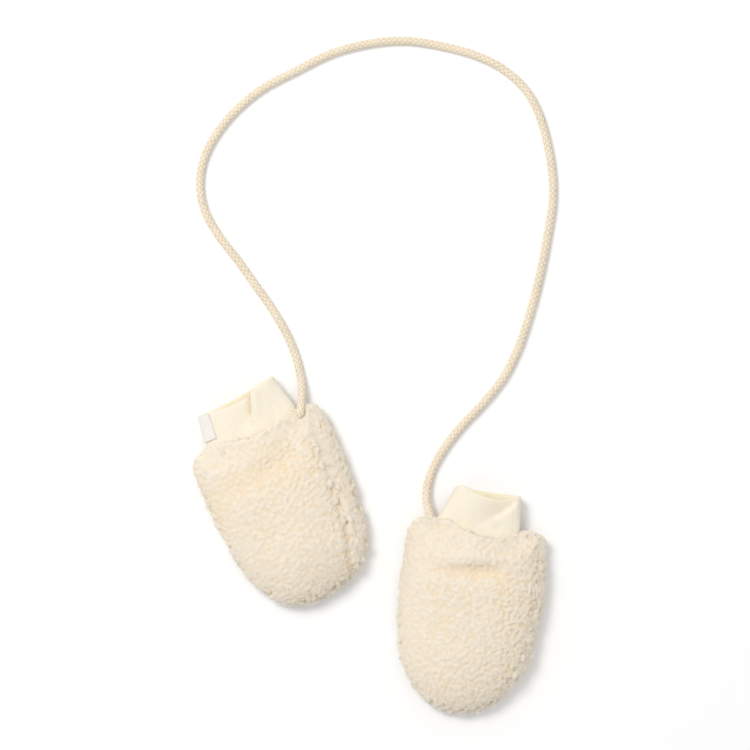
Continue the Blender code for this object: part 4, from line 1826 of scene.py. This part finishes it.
@dataclass
class JerseyCuff:
    """A folded knitted tube, its base tucked into the fleece."""

    side: Side
    seam_at: float
    axis_height: float = 8.0
    half_width: float = 26.0
    half_height: float = 7.0
    edge_fade: float = 2.5
    inside_below: float = -0.1
    seam_width: float = 0.5
    seam_depth: float = 0.3
    lowest: float = 0.15 * MM
    quad_angle: float = math.radians(60)
    girth_steps: int = 721
    flat: Pair = (0.112, 0.032)

    def build(self, node: Piece, finish: Material) -> None:
        """Args:
            node: the CAD cuff.
            finish: the jersey's material.
        """
        piece = merged_copy(node, f"{self.side.value}_cuff_jersey")
        limit = self.quad_angle
        with editing(piece):
            bpy.ops.mesh.tris_convert_to_quads(face_threshold=limit, shape_threshold=limit)
        apply_modifier(piece, "SUBSURF", levels=2, render_levels=2)
        mesh = piece.data
        points, normals = mesh_points(mesh), mesh_normals(mesh)
        cross, along, height = PLACES[self.side].local(points).T
        upper = height > self.axis_height
        lift = np.zeros(len(points))
        for fold in FOLDS[self.side]:
            lift += fold.at(cross, along) * (upper == fold.upper)
            # The crease attribute places a fold's painted shade.
            if fold.crease:
                add_values(mesh, "crease", fold.lay(cross, along, upper))
        seam = -self.seam_depth * np.exp(-(((cross - self.seam_at) / self.seam_width) ** 2))
        lift += np.where(upper, seam, 0.0)
        edge = smooth_step(np.abs(height - self.axis_height) / self.edge_fade)
        points[:, 2] = np.maximum(points[:, 2] + lift * edge * MM, self.lowest)
        set_points(mesh, points)
        flat = np.zeros(len(cross))
        over, up = cross / self.half_width, (height - self.axis_height) / self.half_height
        cross_way, _ = PLACES[self.side].axes()
        turned = np.stack([normals @ cross_way, flat, normals[:, 2]], axis=1)
        outward = dot(unit(np.stack([over, flat, up], axis=1)), turned)
        add_values(mesh, "inside", (outward < self.inside_below).astype(float))
        self.lay_knit(mesh, np.arctan2(up, over), along)
        dress(piece, finish)
        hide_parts(node.name)
        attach(piece, BODY)

    def lay_knit(self, mesh: Mesh, turn: Array, along: Array) -> None:
        """Writes the knit's own map: round the tube and along it, in millimetres.

        Args:
            mesh: the cuff's mesh.
            turn: each vertex's angle round the tube.
            along: each vertex's place along the mitten.
        """
        table = np.linspace(-math.pi, math.pi, self.girth_steps)
        step = np.hypot(self.half_width * np.sin(table), self.half_height * np.cos(table))
        girth = np.interp(turn, table, np.cumsum(step * (table[1] - table[0])))
        loops = np.empty(len(mesh.loops), np.int32)
        mesh.loops.foreach_get("vertex_index", loops)
        places = np.stack([girth[loops], along[loops]], axis=1).astype(np.float32)
        mesh.uv_layers.new(name="knit").data.foreach_set("uv", places.ravel())


# ------------------------------------------------------------------ label


@dataclass
class WovenLabel:
    """A bare woven label folded round the edge of the left cuff."""

    levels: int = 2
    flat: Pair = (0.016, 0.013)
    hem: float = 0.9
    widen: float = 1.0
    corner: float = 1.4

    def build(self, node: Piece, finish: Material) -> None:
        """Args:
            node: the CAD label.
            finish: the label's material.
        """
        piece = merged_copy(node, "left_label_woven")
        levels = {"levels": self.levels, "render_levels": self.levels}
        apply_modifier(piece, "SUBSURF", subdivision_type="SIMPLE", **levels)
        mesh = piece.data
        points = mesh_points(mesh)
        cross, along, _ = PLACES[Side.LEFT].local(points).T
        moves = self.round_off(cross, along)
        across, down = PLACES[Side.LEFT].axes()
        points += (moves[:, :1] * across + moves[:, 1:] * down) * MM
        set_points(mesh, points)
        cross, along = cross + moves[:, 0], along + moves[:, 1]
        inward = np.minimum(along - along.min(), along.max() - along)
        inward = np.minimum(inward, cross.max() - cross)
        add_values(mesh, "edge", 1 - smooth_step(inward / self.hem))
        dress(piece, finish)
        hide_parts(node.name)
        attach(piece, BODY)

    def round_off(self, cross: Array, along: Array) -> Array:
        """Widens the label over the cuff and rounds its corners off.

        Args:
            cross: each vertex's place over the width, in millimetres.
            along: each vertex's place along the mitten.

        Returns:
            One row of cross and along for each vertex: how far it moves.
        """
        low, high = cross.min(), cross.max()
        wider = cross + self.widen * (cross - low) / (high - low)
        place = np.stack([wider, along], axis=1)
        middle = (place.max(axis=0) + place.min(axis=0)) / 2
        inner = (place.max(axis=0) - place.min(axis=0)) / 2 - self.corner
        core = np.clip(place - middle, -inner, inner)
        over = place - middle - core
        reach = np.linalg.norm(over, axis=1, keepdims=True)
        over *= np.minimum(1.0, self.corner / np.maximum(reach, 1e-9))
        return middle + core + over - np.stack([cross, along], axis=1)


# ------------------------------------------------------------------ the whole pair


def clear_scene() -> None:
    """Removes whatever a new file holds."""
    for thing in list(bpy.data.objects):
        bpy.data.objects.remove(thing)


@dataclass
class Mitten:
    """One mitten: two fleece panels and the cuff between them."""

    side: Side
    seed: int
    cuff_seam: float

    def build(
        self, nodes: dict[str, Piece], fleece: Material, fibre: Material, jersey: Material
    ) -> None:
        """Builds the mitten's pieces.

        Args:
            nodes: the CAD nodes by name.
            fleece: the pile's material.
            fibre: the loose fibres' material.
            jersey: the cuff's material.
        """
        back, palm = (
            Form(
                nodes[f"{self.side.value}_{face.value}"],
                PLACES[self.side],
                DENTS.get((self.side, face), ()),
            )
            for face in (Face.BACK, Face.PALM)
        )
        FleecePanel(self.side, Face.BACK, self.seed, back, palm).build(fleece, fibre)
        FleecePanel(
            self.side,
            Face.PALM,
            self.seed + 1,
            palm,
            back,
            voxel=0.75 * MM,
            fuzz_count=5000,
            side_fuzz=0.25,
            mean_relief=0.6,
            rim_hang=(-0.6 * MM, 1.6 * MM),
            rim_drop=(-0.4 * MM, 0.4 * MM),
        ).build(fleece, fibre)
        JerseyCuff(self.side, self.cuff_seam).build(nodes[f"{self.side.value}_cuff"], jersey)


def build_pieces(nodes: dict[str, Piece]) -> None:
    """Builds the pieces of the pair.

    Args:
        nodes: the CAD nodes by name.
    """
    BraidedCord().build(BraidFinish("braided_cotton", 0.85, sheen=0.15, glow=0.25).build())
    fleece = FleeceFinish("teddy_pile", 1.0, sheen=0.0).build()
    # The fibres carry the same painted shade as the pile, only fainter.
    fibre = FleeceFinish(
        "teddy_fibre",
        1.0,
        sheen=0.0,
        tip=(0.93, 0.855, 0.735),
        middle=(0.92, 0.84, 0.71),
        hollow_shade=(0.91, 0.82, 0.68),
        depth=0.0,
    ).build()
    jersey = JerseyFinish("knitted_jersey", 0.85, sheen=0.15, glow=0.3).build()
    Mitten(Side.LEFT, seed=5, cuff_seam=-21.5).build(nodes, fleece, fibre, jersey)
    WovenLabel().build(nodes["left_label"], LabelFinish("label_tape", 0.8, sheen=0.1).build())
    Mitten(Side.RIGHT, seed=15, cuff_seam=21.5).build(nodes, fleece, fibre, jersey)


def main() -> None:
    """Builds the studio and the pair."""
    logging.basicConfig(level=logging.INFO, format="%(name)s %(message)s")
    clear_scene()
    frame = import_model()
    Studio().build()
    build_pieces(frame["nodes"])
    LOG.info("all pieces built")


if __name__ == "__main__":
    main()
